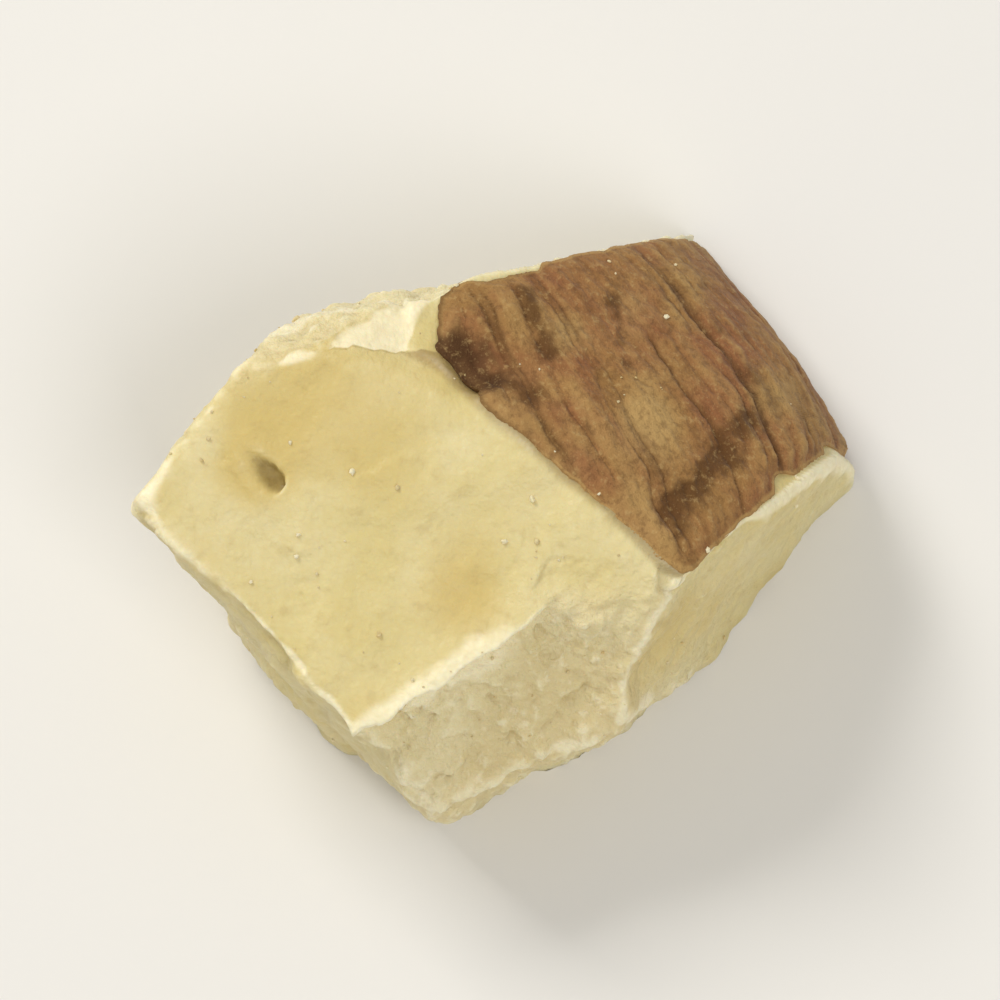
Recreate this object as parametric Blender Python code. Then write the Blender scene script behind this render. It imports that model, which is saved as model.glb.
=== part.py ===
"""A piece of diced roasted almond, resting on the flat inner face of its seed leaf.

The piece is what knife cuts leave of one half of a kernel. Its surface is a reach: how far the piece goes
from its middle in each direction. The reach is the smallest of the reaches of the kernel's outside and of each
flat cut, with the corners between them rounded. Low relief is then added: the ledge where a cut broke out,
chipped edges, the flakes and waves of a broken nut, and the ribbed seed coat on what was the kernel's outside.
"""

import math
from typing import NamedTuple

import bmesh
import bpy
import numpy as np

MM = 0.001


class Cut(NamedTuple):
    """A flat face: the azimuth and elevation that it looks towards, and its distance from the middle."""

    azimuth_deg: float
    elevation_deg: float
    distance_mm: float


class Bite(NamedTuple):
    """A round hollow, or a swelling if its depth is below 0.

    It has the azimuth and elevation from the middle to where it lies, its radius and its depth.
    """

    azimuth_deg: float
    elevation_deg: float
    radius_mm: float
    depth_mm: float


# The kernel that the piece was cut from, which lies on its inner face: an ellipsoid of these sizes.
KERNEL_LENGTH_MM = 22.0
KERNEL_WIDTH_MM = 14.5
KERNEL_THICKNESS_MM = 8.9
KERNEL_MIDDLE_MM = (-2.4, -2.65, 0.0)
KERNEL_TURN_DEG = -65.0

# Every reach is measured from the middle of the piece, this high above the face that it rests on. The sizes
# here are from the foot of that middle, and the foot is moved this far so that the box is over the origin.
MIDDLE_HEIGHT_MM = 1.9
FOOT_MM = (-0.06, -0.23, 0.0)

# The knife cuts, and the corners that broke off between them. The rest cut lies a little under the face that
# the piece rests on, so that the lower edges are rounded before that face takes the underside off flat.
TOP_CUT = Cut(266.0, 76.0, 1.71)
FRONT_FACET = Cut(290.0, 53.0, 1.80)
SIDE_CUTS = {
    "upper left": Cut(145.0, 6.0, 3.14),
    "back": Cut(107.0, 8.0, 2.58),
    "lower left": Cut(222.0, -7.0, 2.80),
    "front": Cut(299.0, -12.0, 2.62),
    "right": Cut(326.0, 6.0, 2.48),
}
BROKEN_CORNERS = {
    "left": Cut(186.0, -22.0, 3.48),
    "near": Cut(258.0, -30.0, 3.42),
    "far": Cut(112.0, 46.0, 2.92),
}
REST_CUT = Cut(0.0, -90.0, MIDDLE_HEIGHT_MM + 0.07)

# The higher this power, the tighter the rounding where two faces meet. At 40 an edge loses about 0.06 mm.
CORNER_POWER = 40.0

# The ledge: a tongue of the top face that stands over the front facet, up to a ridge where the cut broke out.
# The tongue fades out along the ridge, between these shares of the ridge's length, and has a raised lip.
RIDGE_FROM_MM = (-1.38, -2.58, 2.98)
RIDGE_TO_MM = (0.21, -1.55, 3.25)
RIDGE_FADE = (0.6, 1.5)
TONGUE_MM = 0.50
STEP_WIDTH_MM = 0.26
LIP_MM = 0.06
LIP_WIDTH_MM = 0.20
FAR_REACH_MM = 20.0

# The break under the ledge runs out towards the seed coat: there the front facet rises by this much, between
# these shares of the ridge's length.
FACET_RISE_MM = 0.40
FACET_RISE = (1.0, 1.75)

# Bites out of faces and edges, and the shoulder by which the kernel is fuller than an ellipsoid.
SHOULDER = Bite(27.0, -2.0, 1.5, -0.25)
PIT = Bite(178.9, 35.5, 0.24, 0.16)
NOTCH = Bite(99.5, 54.0, 0.30, 0.20)
CHIPS = (
    Bite(167.0, 16.0, 0.55, 0.13),
    Bite(203.0, 30.0, 0.50, 0.12),
    Bite(246.0, 12.0, 0.60, 0.15),
    Bite(262.0, -8.0, 0.45, 0.10),
    Bite(318.0, 8.0, 0.50, 0.12),
    Bite(120.0, 40.0, 0.60, 0.12),
    Bite(95.0, -20.0, 0.55, 0.14),
    Bite(185.0, -25.0, 0.50, 0.12),
    Bite(20.0, -24.0, 0.45, 0.10),
)

# Waves of the faces: how many sine waves are summed, their shortest and longest length, and their height.
WAVE_COUNT = 14
WAVE_LENGTHS_MM = (0.9, 3.2)
WAVE_HEIGHT_MM = 0.09
WAVE_SEED = 7

# Flakes that came off where the nut broke: how many cells there are within this far of the middle, how steep
# and how high they are, how sharply one gives way to the next, and what share of them the knife left on top.
FLAKE_COUNT = 90
FLAKE_BOX_MM = 4.4
FLAKE_SLOPE = 0.16
FLAKE_HEIGHT_MM = 0.07
FLAKE_STEP_MM = 0.035
FLAKE_SHARPNESS = 6.0
FLAKE_SHARE_ON_TOP = 0.35
FLAKE_SEED = 11

# The seed coat stands this far proud of the flesh, with ribs along the kernel that wander from side to side
# by this much, at these rates in radians per millimetre along and across them.
COAT_THICKNESS_MM = 0.06
COAT_EDGE_MM = (-0.03, 0.05)
RIB_SPACING_MM = 0.62
RIB_HEIGHT_MM = 0.07
RIB_WANDER_MM = 0.12
RIB_WANDER_ALONG = 1.7
RIB_WANDER_ACROSS = 2.1

# Where the seed coat has peeled back from its cut edge: the depths are from the cut down to the coat. The
# shares that the margin is worked out from are kept this far from 0, because it takes their logarithm.
PEELED = (
    Bite(14.0, -4.0, 1.5, 0.14),
    Bite(128.0, 50.0, 0.9, 0.26),
)
LEAST_SHARE = 1e-9

# Squares along each side of the cube that the mesh starts as, the share of its triangles that is kept, and
# how near to the rest face a point must be to be laid on it.
GRID = 80
KEPT_SHARE = 0.14
REST_SNAP_MM = 0.004

FLESH_COLOUR = (0.68, 0.53, 0.24)
FLESH_ROUGHNESS = 0.6
COAT_COLOUR = (0.27, 0.15, 0.055)
COAT_ROUGHNESS = 0.75


def unit(azimuth_deg, elevation_deg):
    """The direction at this azimuth, anticlockwise from +X, and this elevation."""
    azimuth = math.radians(azimuth_deg)
    elevation = math.radians(elevation_deg)
    flat = math.cos(elevation)
    return np.array([flat * math.cos(azimuth), flat * math.sin(azimuth), math.sin(elevation)])


def smooth_step(values, low, high):
    """0 below low, 1 above high, and a smooth rise between them."""
    share = np.clip((values - low) / (high - low), 0.0, 1.0)
    return share * share * (3.0 - 2.0 * share)


def middle():
    """The point that every reach is measured from, in millimetres from its foot."""
    return np.array([0.0, 0.0, MIDDLE_HEIGHT_MM])


def kernel_axes():
    """The kernel's long, wide and thick axes as rows, each divided by its half size in millimetres."""
    turn = math.radians(KERNEL_TURN_DEG)
    long_axis = np.array([math.cos(turn), math.sin(turn), 0.0]) / (KERNEL_LENGTH_MM / 2)
    wide_axis = np.array([-math.sin(turn), math.cos(turn), 0.0]) / (KERNEL_WIDTH_MM / 2)
    thick_axis = np.array([0.0, 0.0, 1.0]) / (KERNEL_THICKNESS_MM / 2)
    return np.array([long_axis, wide_axis, thick_axis])


def kernel_nearness(directions):
    """One over the reach of the kernel's outside, where a ray from the middle leaves the ellipsoid."""
    start = kernel_axes() @ (middle() - np.array(KERNEL_MIDDLE_MM))
    along = directions @ kernel_axes().T
    a = (along * along).sum(axis=1)
    b = along @ start
    c = start @ start - 1.0
    return a / (np.sqrt(b * b - a * c) - b)


def cut_nearness(directions, cut, raised=0.0):
    """One over the reach of a flat cut, or 0 for the directions that never meet it."""
    towards = directions @ unit(cut.azimuth_deg, cut.elevation_deg)
    return np.clip(towards, 0.0, None) / (cut.distance_mm + raised)


def ridge_place(directions):
    """Where each ray meets the top cut: the way along the ridge, in ridge lengths, and the distance past it."""
    start = np.array(RIDGE_FROM_MM)
    ridge = np.array(RIDGE_TO_MM) - start
    length = np.linalg.norm(ridge)
    reach = 1.0 / np.maximum(cut_nearness(directions, TOP_CUT), 1.0 / FAR_REACH_MM)
    from_start = middle() + directions * reach[:, None] - start
    beyond = from_start @ np.cross(ridge / length, unit(TOP_CUT.azimuth_deg, TOP_CUT.elevation_deg))
    return from_start @ ridge / length**2, beyond


def facet_raised(directions):
    """How far the front facet is held off: under the tongue, and where the break runs out."""
    along, beyond = ridge_place(directions)
    tongue = (1.0 - smooth_step(along, *RIDGE_FADE)) * (1.0 - smooth_step(beyond, 0.0, STEP_WIDTH_MM))
    return TONGUE_MM * tongue + FACET_RISE_MM * smooth_step(along, *FACET_RISE)


def lip(directions):
    """The height of the lip along the ridge, which fades out as the tongue does."""
    along, beyond = ridge_place(directions)
    return LIP_MM * (1.0 - smooth_step(along, *RIDGE_FADE)) * np.exp(-((beyond / LIP_WIDTH_MM) ** 2))


def body_reach(directions):
    """The reach of the cut piece, and the shares of it that the coat, the top cut and the front facet set."""
    other_cuts = [REST_CUT, *SIDE_CUTS.values(), *BROKEN_CORNERS.values()]
    coat = kernel_nearness(directions) ** CORNER_POWER
    top = cut_nearness(directions, TOP_CUT) ** CORNER_POWER
    front = cut_nearness(directions, FRONT_FACET, facet_raised(directions)) ** CORNER_POWER
    total = coat + top + front + sum(cut_nearness(directions, cut) ** CORNER_POWER for cut in other_cuts)
    return total ** (-1.0 / CORNER_POWER), coat / total, top / total, front / total


def distances(points, bite):
    """How far these points are from where a bite lies on the body."""
    direction = unit(bite.azimuth_deg, bite.elevation_deg)
    return np.linalg.norm(points - middle() - direction * body_reach(direction[None, :])[0], axis=1)


def waves(points):
    """A sum of seeded sine waves, each as high as its share of all their lengths."""
    rng = np.random.default_rng(WAVE_SEED)
    shortest, longest = WAVE_LENGTHS_MM
    lengths = shortest * (longest / shortest) ** rng.random(WAVE_COUNT)
    axes = rng.normal(size=(WAVE_COUNT, 3))
    axes /= np.linalg.norm(axes, axis=1, keepdims=True)
    phases = rng.random(WAVE_COUNT) * math.tau
    angles = points @ (axes * (math.tau / lengths)[:, None]).T + phases
    return WAVE_HEIGHT_MM * np.sin(angles) @ (lengths / lengths.sum())


def flakes(points):
    """Small tilted facets: each seeded cell has its own slope and step, and near cells blend into each other."""
    rng = np.random.default_rng(FLAKE_SEED)
    cells = rng.uniform(-FLAKE_BOX_MM, FLAKE_BOX_MM, (FLAKE_COUNT, 3)) + middle()
    slopes = rng.normal(0.0, FLAKE_SLOPE, (FLAKE_COUNT, 3))
    steps = rng.uniform(-FLAKE_STEP_MM, FLAKE_STEP_MM, FLAKE_COUNT)
    away = points[:, None, :] - cells
    squares = (away * away).sum(axis=2)
    weights = np.exp(-FLAKE_SHARPNESS * (squares - squares.min(axis=1, keepdims=True)))
    weights /= weights.sum(axis=1, keepdims=True)
    facets = np.clip((away * slopes).sum(axis=2), -FLAKE_HEIGHT_MM, FLAKE_HEIGHT_MM) + steps
    return (weights * facets).sum(axis=1)


def bites(points):
    """The depth that the pit, the notch and the chips take out at these points, and the shoulder adds."""
    depth = np.zeros(len(points))
    for bite in (SHOULDER, PIT, NOTCH, *CHIPS):
        depth += bite.depth_mm * np.exp(-((distances(points, bite) / bite.radius_mm) ** 2))
    return depth


def coat_margin(points, reach, coat_share):
    """How far the coat lies under the cuts' own reach, less what has peeled: above 0 where there is coat.

    A share of a sum of powers is turned back into a difference of reach by the logarithm of its odds.
    """
    share = np.clip(coat_share, LEAST_SHARE, 1.0 - LEAST_SHARE)
    margin = reach * np.log(share / (1.0 - share)) / CORNER_POWER
    for place in PEELED:
        margin -= place.depth_mm * np.exp(-((distances(points, place) / place.radius_mm) ** 2))
    return margin


def ribs(points):
    """Rounded ribs with sharper grooves, that run from end to end of the kernel and wander a little."""
    along, wide, thick = ((points - np.array(KERNEL_MIDDLE_MM)) @ kernel_axes().T).T
    along_mm = along * KERNEL_LENGTH_MM / 2
    across_mm = np.arctan2(wide, thick) * (KERNEL_WIDTH_MM + KERNEL_THICKNESS_MM) / 4
    wander = RIB_WANDER_MM * np.sin(along_mm * RIB_WANDER_ALONG + across_mm * RIB_WANDER_ACROSS)
    return RIB_HEIGHT_MM * (np.abs(np.cos(math.pi * (across_mm + wander) / RIB_SPACING_MM)) - 0.5)


def piece_points(directions):
    """The finished surface in each direction, in millimetres from the foot of the middle."""
    reach, coat_share, top_share, front_share = body_reach(directions)
    points = middle() + directions * reach[:, None]
    coat = smooth_step(coat_margin(points, reach, coat_share), *COAT_EDGE_MM)
    flaked = (1.0 - coat) * (1.0 - (1.0 - FLAKE_SHARE_ON_TOP) * top_share)
    relief = waves(points) + flaked * flakes(points) - bites(points)
    relief += (top_share + front_share) * lip(directions)
    relief += coat * (COAT_THICKNESS_MM + ribs(points))
    points += directions * relief[:, None]
    points[:, 2] = np.maximum(points[:, 2], 0.0)
    return points


def ball_of_squares(shape):
    """Makes a cube of evenly spread squares and returns each vertex's direction from its middle."""
    bmesh.ops.create_cube(shape, size=2.0)
    bmesh.ops.subdivide_edges(shape, edges=shape.edges[:], cuts=GRID - 1, use_grid_fill=True)
    corners = np.tan(np.array([vertex.co[:] for vertex in shape.verts]) * (math.pi / 4))
    return corners / np.linalg.norm(corners, axis=1, keepdims=True)


def plain_material(name, colour, roughness):
    """A non-metallic material of one colour."""
    material = bpy.data.materials.new(name)
    material.use_nodes = True
    shader = material.node_tree.nodes["Principled BSDF"]
    shader.inputs["Base Color"].default_value = (*colour, 1.0)
    shader.inputs["Roughness"].default_value = roughness
    shader.inputs["Metallic"].default_value = 0.0
    return material


def thin_out(piece):
    """Merges triangles on flat ground, keeps them along edges and relief, and leaves the rest face flat."""
    modifier = piece.modifiers.new("fewer triangles on flat ground", "DECIMATE")
    modifier.ratio = KEPT_SHARE
    with bpy.context.temp_override(object=piece, active_object=piece):
        bpy.ops.object.modifier_apply(modifier=modifier.name)
    for vertex in piece.data.vertices:
        if vertex.co.z < REST_SNAP_MM * MM:
            vertex.co.z = 0.0


def dress(mesh):
    """Gives each triangle the flesh or the seed coat, by which of them its middle lies on."""
    mesh.materials.append(plain_material("roasted flesh", FLESH_COLOUR, FLESH_ROUGHNESS))
    mesh.materials.append(plain_material("seed coat", COAT_COLOUR, COAT_ROUGHNESS))
    centres = np.array([face.center[:] for face in mesh.polygons]) / MM
    from_middle = centres - np.array(FOOT_MM) - middle()
    from_middle /= np.linalg.norm(from_middle, axis=1, keepdims=True)
    reach, coat_share = body_reach(from_middle)[:2]
    coated = coat_margin(middle() + from_middle * reach[:, None], reach, coat_share) > 0.0
    mesh.polygons.foreach_set("material_index", coated.astype(np.int32))


def almond_piece():
    """The one solid: flesh and seed coat, grown as one."""
    shape = bmesh.new()
    points = piece_points(ball_of_squares(shape)) + np.array(FOOT_MM)
    for vertex, point in zip(shape.verts, points):
        vertex.co = point * MM
    bmesh.ops.triangulate(shape, faces=shape.faces[:])
    mesh = bpy.data.meshes.new("almond_piece")
    shape.to_mesh(mesh)
    shape.free()
    piece = bpy.data.objects.new("almond_piece", mesh)
    bpy.context.scene.collection.objects.link(piece)
    thin_out(piece)
    dress(mesh)
    mesh.shade_smooth()


def main():
    for old in list(bpy.data.objects):
        bpy.data.objects.remove(old, do_unlink=True)
    almond_piece()


main()
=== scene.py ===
"""A piece of diced roasted almond: knife-cut flesh, a patch of ribbed seed coat, and almond meal on both.

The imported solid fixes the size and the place. All is worked out in millimetres from the foot of the middle,
the point that the solid's own reaches are measured from, and is moved over the frame's origin at the end.
"""

from __future__ import annotations

import logging
import math
from dataclasses import dataclass
from enum import Enum
from itertools import product
from typing import NamedTuple

import bpy
import numpy as np
from bpy.types import ID, Material, Node, NodeSocket, Object
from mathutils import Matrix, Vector


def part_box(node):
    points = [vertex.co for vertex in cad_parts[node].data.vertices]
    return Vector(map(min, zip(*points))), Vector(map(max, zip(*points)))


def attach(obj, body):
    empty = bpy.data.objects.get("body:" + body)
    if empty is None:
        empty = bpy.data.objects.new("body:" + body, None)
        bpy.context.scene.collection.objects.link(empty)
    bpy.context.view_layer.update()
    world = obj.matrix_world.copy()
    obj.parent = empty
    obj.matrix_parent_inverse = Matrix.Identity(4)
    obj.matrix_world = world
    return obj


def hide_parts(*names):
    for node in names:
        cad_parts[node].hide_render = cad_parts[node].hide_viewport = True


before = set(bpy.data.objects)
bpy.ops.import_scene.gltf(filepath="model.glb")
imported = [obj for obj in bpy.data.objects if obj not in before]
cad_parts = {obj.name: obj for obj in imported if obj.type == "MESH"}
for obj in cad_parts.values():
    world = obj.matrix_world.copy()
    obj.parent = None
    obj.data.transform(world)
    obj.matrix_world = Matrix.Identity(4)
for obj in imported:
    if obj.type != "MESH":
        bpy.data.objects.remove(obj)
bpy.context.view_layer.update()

LOG = logging.getLogger("diced_almond")

MM = 0.001
LEAST = 1e-9  # keeps a divisor or a logarithm's share off 0
BODY = "root"
CAD_NODE = "almond_piece"

Array = np.ndarray
Span = tuple[float, float]
Spot = tuple[float, float, float]


# Plain numbers and noise


def unit(azimuth_deg: float, elevation_deg: float) -> Array:
    """The unit direction of two angles a and e: (cos e cos a, cos e sin a, sin e).

    Args:
        azimuth_deg: a, anticlockwise from +X.
        elevation_deg: e, up from level.

    Returns:
        the direction.
    """
    azimuth, elevation = math.radians(azimuth_deg), math.radians(elevation_deg)
    flat = math.cos(elevation)
    return np.array([flat * math.cos(azimuth), flat * math.sin(azimuth), math.sin(elevation)])


def smooth_step(values: Array, low: float, high: float) -> Array:
    """0 below low, 1 above high, and between them 3 s^2 - 2 s^3 of the share s of the way."""
    share = np.clip((values - low) / (high - low), 0.0, 1.0)
    return share * share * (3.0 - 2.0 * share)


def near(distance: Array, radius_mm: float, power: int = 2) -> Array:
    """How near a place is, from 1 at no distance to 0 far off: exp(-(distance / radius)^power)."""
    return np.exp(-((distance / radius_mm) ** power))


# The factors and shifts that turn a cell's whole numbers into random ones of 32 bits.
CELL_FACTORS = np.array([0x8DA6B343, 0xD8163841, 0xCB1AB31F], dtype=np.uint32)
SEED_FACTOR, COUNT_FACTOR = 0x9E3779B1, np.uint32(0x9E3779B9)
FOLDS = ((16, 0x85EBCA6B), (13, 0xC2B2AE35), (16, 1))
LARGEST = 0xFFFFFFFF
# How far apart the seeds of a swell's layers are, and what brings a layer's highest hills to about 1.
LAYER_STEP, LAYER_PEAK = 31, 1.7


def drawn(seed: int, cells: Array, count: int) -> Array:
    """Random numbers for whole-numbered cells, the same on every run.

    Args:
        seed: which set of numbers.
        cells: the cells' three whole numbers, one cell to a row.
        count: how many numbers each cell gets.

    Returns:
        count numbers from 0 to 1 to a row: the cell's numbers multiplied, then folded and multiplied in turn.
    """
    key = np.bitwise_xor.reduce(cells.astype(np.int64).astype(np.uint32) * CELL_FACTORS, axis=1)
    key ^= np.uint32(seed * SEED_FACTOR & LARGEST)
    mixed = key[:, None] + np.arange(1, count + 1, dtype=np.uint32) * COUNT_FACTOR
    for shift, factor in FOLDS:
        mixed = (mixed ^ (mixed >> np.uint32(shift))) * np.uint32(factor)
    return mixed / float(LARGEST)


class Swell(NamedTuple):
    """Smooth seeded hills and hollows, in layers, each half the size and height of the one before."""

    seed: int
    size_mm: float
    layers: int = 1
    height: float = 1.0
    mean: float = 0.0

    def at(self, points: Array) -> Array:
        """How high the swells are.

        Each corner of a layer's lattice has a slope. The layer's height is the heights of the eight slopes at
        the point, weighted by the fade 6 t^5 - 15 t^4 + 10 t^3 along each edge of the cube.

        Args:
            points: places in millimetres, one to a row.

        Returns:
            the mean, plus the height times the sum of the layers.
        """
        total = np.zeros(len(points))
        for layer in range(self.layers):
            halved = 0.5**layer
            places = points / (self.size_mm * halved)
            cells = np.floor(places)
            within = places - cells
            fade = within**3 * (within * (within * 6.0 - 15.0) + 10.0)
            height = np.zeros(len(points))
            for corner in product((0.0, 1.0), repeat=3):
                slopes = drawn(self.seed + LAYER_STEP * layer, cells + corner, 3) * 2.0 - 1.0
                weight = np.prod(np.where(np.array(corner) > 0.5, fade, 1.0 - fade), axis=1)
                height += weight * ((within - corner) * slopes).sum(axis=1)
            total += halved * (height * LAYER_PEAK)
        return self.mean + self.height * total


class Nearest(NamedTuple):
    """What lies nearest to each point: the distances to two seeds, the way from the first, and its draws."""

    first: Array
    second: Array
    offset: Array
    draws: Array


class Cells(NamedTuple):
    """One seed dropped at random in each cube of a lattice of this spacing."""

    seed: int
    size_mm: float

    def nearest(self, points: Array) -> Nearest:
        """Finds the seeds nearest to each point.

        Args:
            points: places in millimetres, one to a row.

        Returns:
            distances and offsets as shares of the spacing, and three random numbers of the seed's own.
        """
        places = points / self.size_mm
        home = np.floor(places)
        first = np.full(len(points), np.inf)
        second = first.copy()
        offset, draws = np.zeros_like(places), np.zeros_like(places)
        for step in product((-1.0, 0.0, 1.0), repeat=3):
            own = drawn(self.seed, home + step, 6)
            away = places - (home + step) - own[:, :3]
            distance = np.linalg.norm(away, axis=1)
            closer = distance < first
            second = np.where(closer, first, np.minimum(second, distance))
            first = np.where(closer, distance, first)
            offset[closer], draws[closer] = away[closer], own[closer, 3:]
        return Nearest(first, second, offset, draws)


# Meshes


def box_of_squares(counts: tuple[int, int, int]) -> tuple[Array, Array]:
    """The squares on the outside of a box: six grids of whole-numbered places, the shared ones made one.

    Args:
        counts: squares along X, Y and Z.

    Returns:
        places from -1 to 1 on each axis, and the corners of each square, anticlockwise from outside.
    """
    corners = []
    for axis, end in product(range(3), (0, 1)):
        first, second = (axis + 1) % 3, (axis + 2) % 3
        a, b = np.meshgrid(np.arange(counts[first]), np.arange(counts[second]), indexing="ij")
        turn = ((0, 0), (1, 0), (1, 1), (0, 1)) if end else ((0, 0), (0, 1), (1, 1), (1, 0))
        side = np.zeros((a.size, 4, 3), dtype=np.int64)
        for corner, (da, db) in enumerate(turn):
            side[:, corner, first] = a.ravel() + da
            side[:, corner, second] = b.ravel() + db
        side[:, :, axis] = end * counts[axis]
        corners.append(side)
    places, faces = np.unique(np.concatenate(corners).reshape(-1, 3), axis=0, return_inverse=True)
    return places / np.array(counts) * 2.0 - 1.0, faces.reshape(-1, 4)


def ring_points(radii: Array, heights: Array, columns: int) -> Array:
    """The points of rings round the Z axis, in turn: (radius cos t, radius sin t, height).

    Args:
        radii: each ring's radius.
        heights: each ring's height.
        columns: how many points each ring has.

    Returns:
        the points as rows.
    """
    turns = np.arange(columns) * (math.tau / columns)
    flat = [np.outer(radii, np.cos(turns)), np.outer(radii, np.sin(turns))]
    return np.stack([*flat, np.outer(heights, np.ones(columns))], axis=-1).reshape(-1, 3)


def capped_rings(rings: int, columns: int) -> tuple[Array, Array]:
    """The faces of a surface of rings, closed at both ends by a fan round a pole.

    Its points are the first pole, each ring, anticlockwise round that pole from outside, and the last pole.

    Args:
        rings: how many rings there are.
        columns: how many points each ring has.

    Returns:
        the squares between rings, and the triangles of both fans.
    """
    column = np.arange(columns)
    after = (column + 1) % columns
    starts = 1 + np.arange(rings - 1)[:, None] * columns
    ring, ring_after = starts + column, starts + after
    squares = np.stack([ring, ring + columns, ring_after + columns, ring_after], axis=-1).reshape(-1, 4)
    last_ring, last = 1 + (rings - 1) * columns, 1 + rings * columns
    first_fan = np.stack([np.zeros_like(column), 1 + column, 1 + after], axis=-1)
    last_fan = np.stack([np.full_like(column, last), last_ring + after, last_ring + column], axis=-1)
    return squares, np.concatenate([first_fan, last_fan])


def settled(values: Array, faces: list[Array], passes: int) -> Array:
    """Smooths values at a mesh's points: each is set, over and over, half way to the mean of its neighbours.

    Args:
        values: a row to each point.
        faces: arrays of squares or triangles, as rows of point numbers.
        passes: how many times.

    Returns:
        the smoothed values.
    """
    sides = [np.stack([face, np.roll(face, -1, axis=1)], axis=-1).reshape(-1, 2) for face in faces]
    one_way = np.concatenate(sides)
    own, other = np.concatenate([one_way, one_way[:, ::-1]]).T
    count = np.bincount(own, minlength=len(values)).astype(float)
    now = values.astype(float)
    for _ in range(passes):
        sums = [np.bincount(own, weights=column[other], minlength=len(now)) for column in now.T]
        now = (now + np.stack(sums, axis=1) / count[:, None]) / 2.0
    return now


def standing_out(points: Array, faces: list[Array], passes: int) -> Array:
    """How far each point stands proud of the surface as it is once smoothed.

    It is measured along the sum of the point's faces' areas as vectors. The cross product of a square's two
    diagonals is twice its area. A triangle is a square whose last two corners are one.

    Args:
        points: the mesh's points in millimetres.
        faces: its faces.
        passes: how many times it is smoothed.

    Returns:
        distances in millimetres, below 0 in a hollow.
    """
    total = np.zeros_like(points)
    for face in faces:
        area = np.cross(points[face[:, 2]] - points[face[:, 0]], points[face[:, -1]] - points[face[:, 1]])
        for corner in range(face.shape[1]):
            np.add.at(total, face[:, corner], area)
    outward = total / np.maximum(np.linalg.norm(total, axis=1, keepdims=True), LEAST)
    return ((points - settled(points, faces, passes)) * outward).sum(axis=1)


def new_piece(
    name: str, points_mm: Array, faces: list[Array], marks: dict[str, Array], smooth: bool = True
) -> Object:
    """Makes a mesh object at the origin.

    Args:
        name: the object's name.
        points_mm: the points in millimetres, in the frame.
        faces: arrays of squares or triangles, as rows of point numbers.
        marks: numbers at the points that the material reads, by name.
        smooth: whether the faces are shaded smooth.

    Returns:
        the object, linked to the scene.
    """
    mesh = bpy.data.meshes.new(name)
    mesh.from_pydata(points_mm * MM, [], [row for block in faces for row in block.tolist()])
    for mark, values in marks.items():
        attribute = mesh.attributes.new(mark, "FLOAT", "POINT")
        attribute.data.foreach_set("value", values.astype(np.float32))
    if smooth:
        mesh.shade_smooth()
    piece = bpy.data.objects.new(name, mesh)
    bpy.context.scene.collection.objects.link(piece)
    return piece


def adopt(piece: Object, material: Material) -> Object:
    """Gives a piece its finish, puts it on the almond's body and reports it.

    Args:
        piece: the piece.
        material: its finish.

    Returns:
        the piece.
    """
    piece.data.materials.append(material)
    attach(piece, BODY)
    triangles = sum(len(face.vertices) - 2 for face in piece.data.polygons)
    points = len(piece.data.vertices)
    LOG.info("%s: %d points, %d triangles, finish %s", piece.name, points, triangles, material.name)
    return piece


# The form of the piece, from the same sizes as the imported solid


class Made(Enum):
    """How a face came to be, and the share of full roughness that this leaves on it."""

    SLICED = 0.22
    SHEARED = 0.6
    SNAPPED = 1.0
    SPLIT = 0.1


class Cut(NamedTuple):
    """A flat face: where it looks, how far it lies from the middle, and how it was made."""

    azimuth_deg: float
    elevation_deg: float
    distance_mm: float
    made: Made

    def outward(self) -> Array:
        """The direction in which the face looks."""
        return unit(self.azimuth_deg, self.elevation_deg)


class Bite(NamedTuple):
    """A round hollow, or a swelling where its depth is below 0: where it lies, its radius and its depth."""

    azimuth_deg: float
    elevation_deg: float
    radius_mm: float
    depth_mm: float


# The rows of every array that has one row to a face: the kernel's outside, then the cuts in their order.
COAT, TOP, FRONT, SIDES = 0, 1, 2, 3
REST = -1


@dataclass(frozen=True)
class Kernel:
    """The whole kernel that the piece was cut from: an ellipsoid that lies on its flat inner face."""

    length_mm: float = 22.0
    width_mm: float = 14.5
    thickness_mm: float = 8.9
    middle_mm: Spot = (-2.4, -2.65, 0.0)
    turn_deg: float = -65.0

    def axes(self) -> Array:
        """The kernel's own axes.

        Returns:
            the long, wide and thick axes as rows, each divided by its half size.
        """
        cosine, sine = math.cos(math.radians(self.turn_deg)), math.sin(math.radians(self.turn_deg))
        half_sizes = np.array([[self.length_mm], [self.width_mm], [self.thickness_mm]]) / 2
        return np.array([[cosine, sine, 0.0], [-sine, cosine, 0.0], [0.0, 0.0, 1.0]]) / half_sizes

    def nearness(self, directions: Array, start: Array) -> Array:
        """One over the distance from inside to the ellipsoid: the root of a t^2 + 2 b t + c = 0, turned over.

        Args:
            directions: unit directions.
            start: where they are measured from.

        Returns:
            one number to a direction.
        """
        offset = self.axes() @ (start - np.array(self.middle_mm))
        along = directions @ self.axes().T
        a = (along * along).sum(axis=1)
        b = along @ offset
        c = offset @ offset - 1.0
        return a / (np.sqrt(b * b - a * c) - b)

    def along_and_around(self, points: Array) -> tuple[Array, Array]:
        """How far along the kernel each point lies, and how far round it at its girth.

        Args:
            points: places near the kernel's outside.

        Returns:
            both in millimetres.
        """
        along, wide, thick = ((points - np.array(self.middle_mm)) @ self.axes().T).T
        girth = (self.width_mm + self.thickness_mm) / 4
        return along * self.length_mm / 2, np.arctan2(wide, thick) * girth


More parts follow.
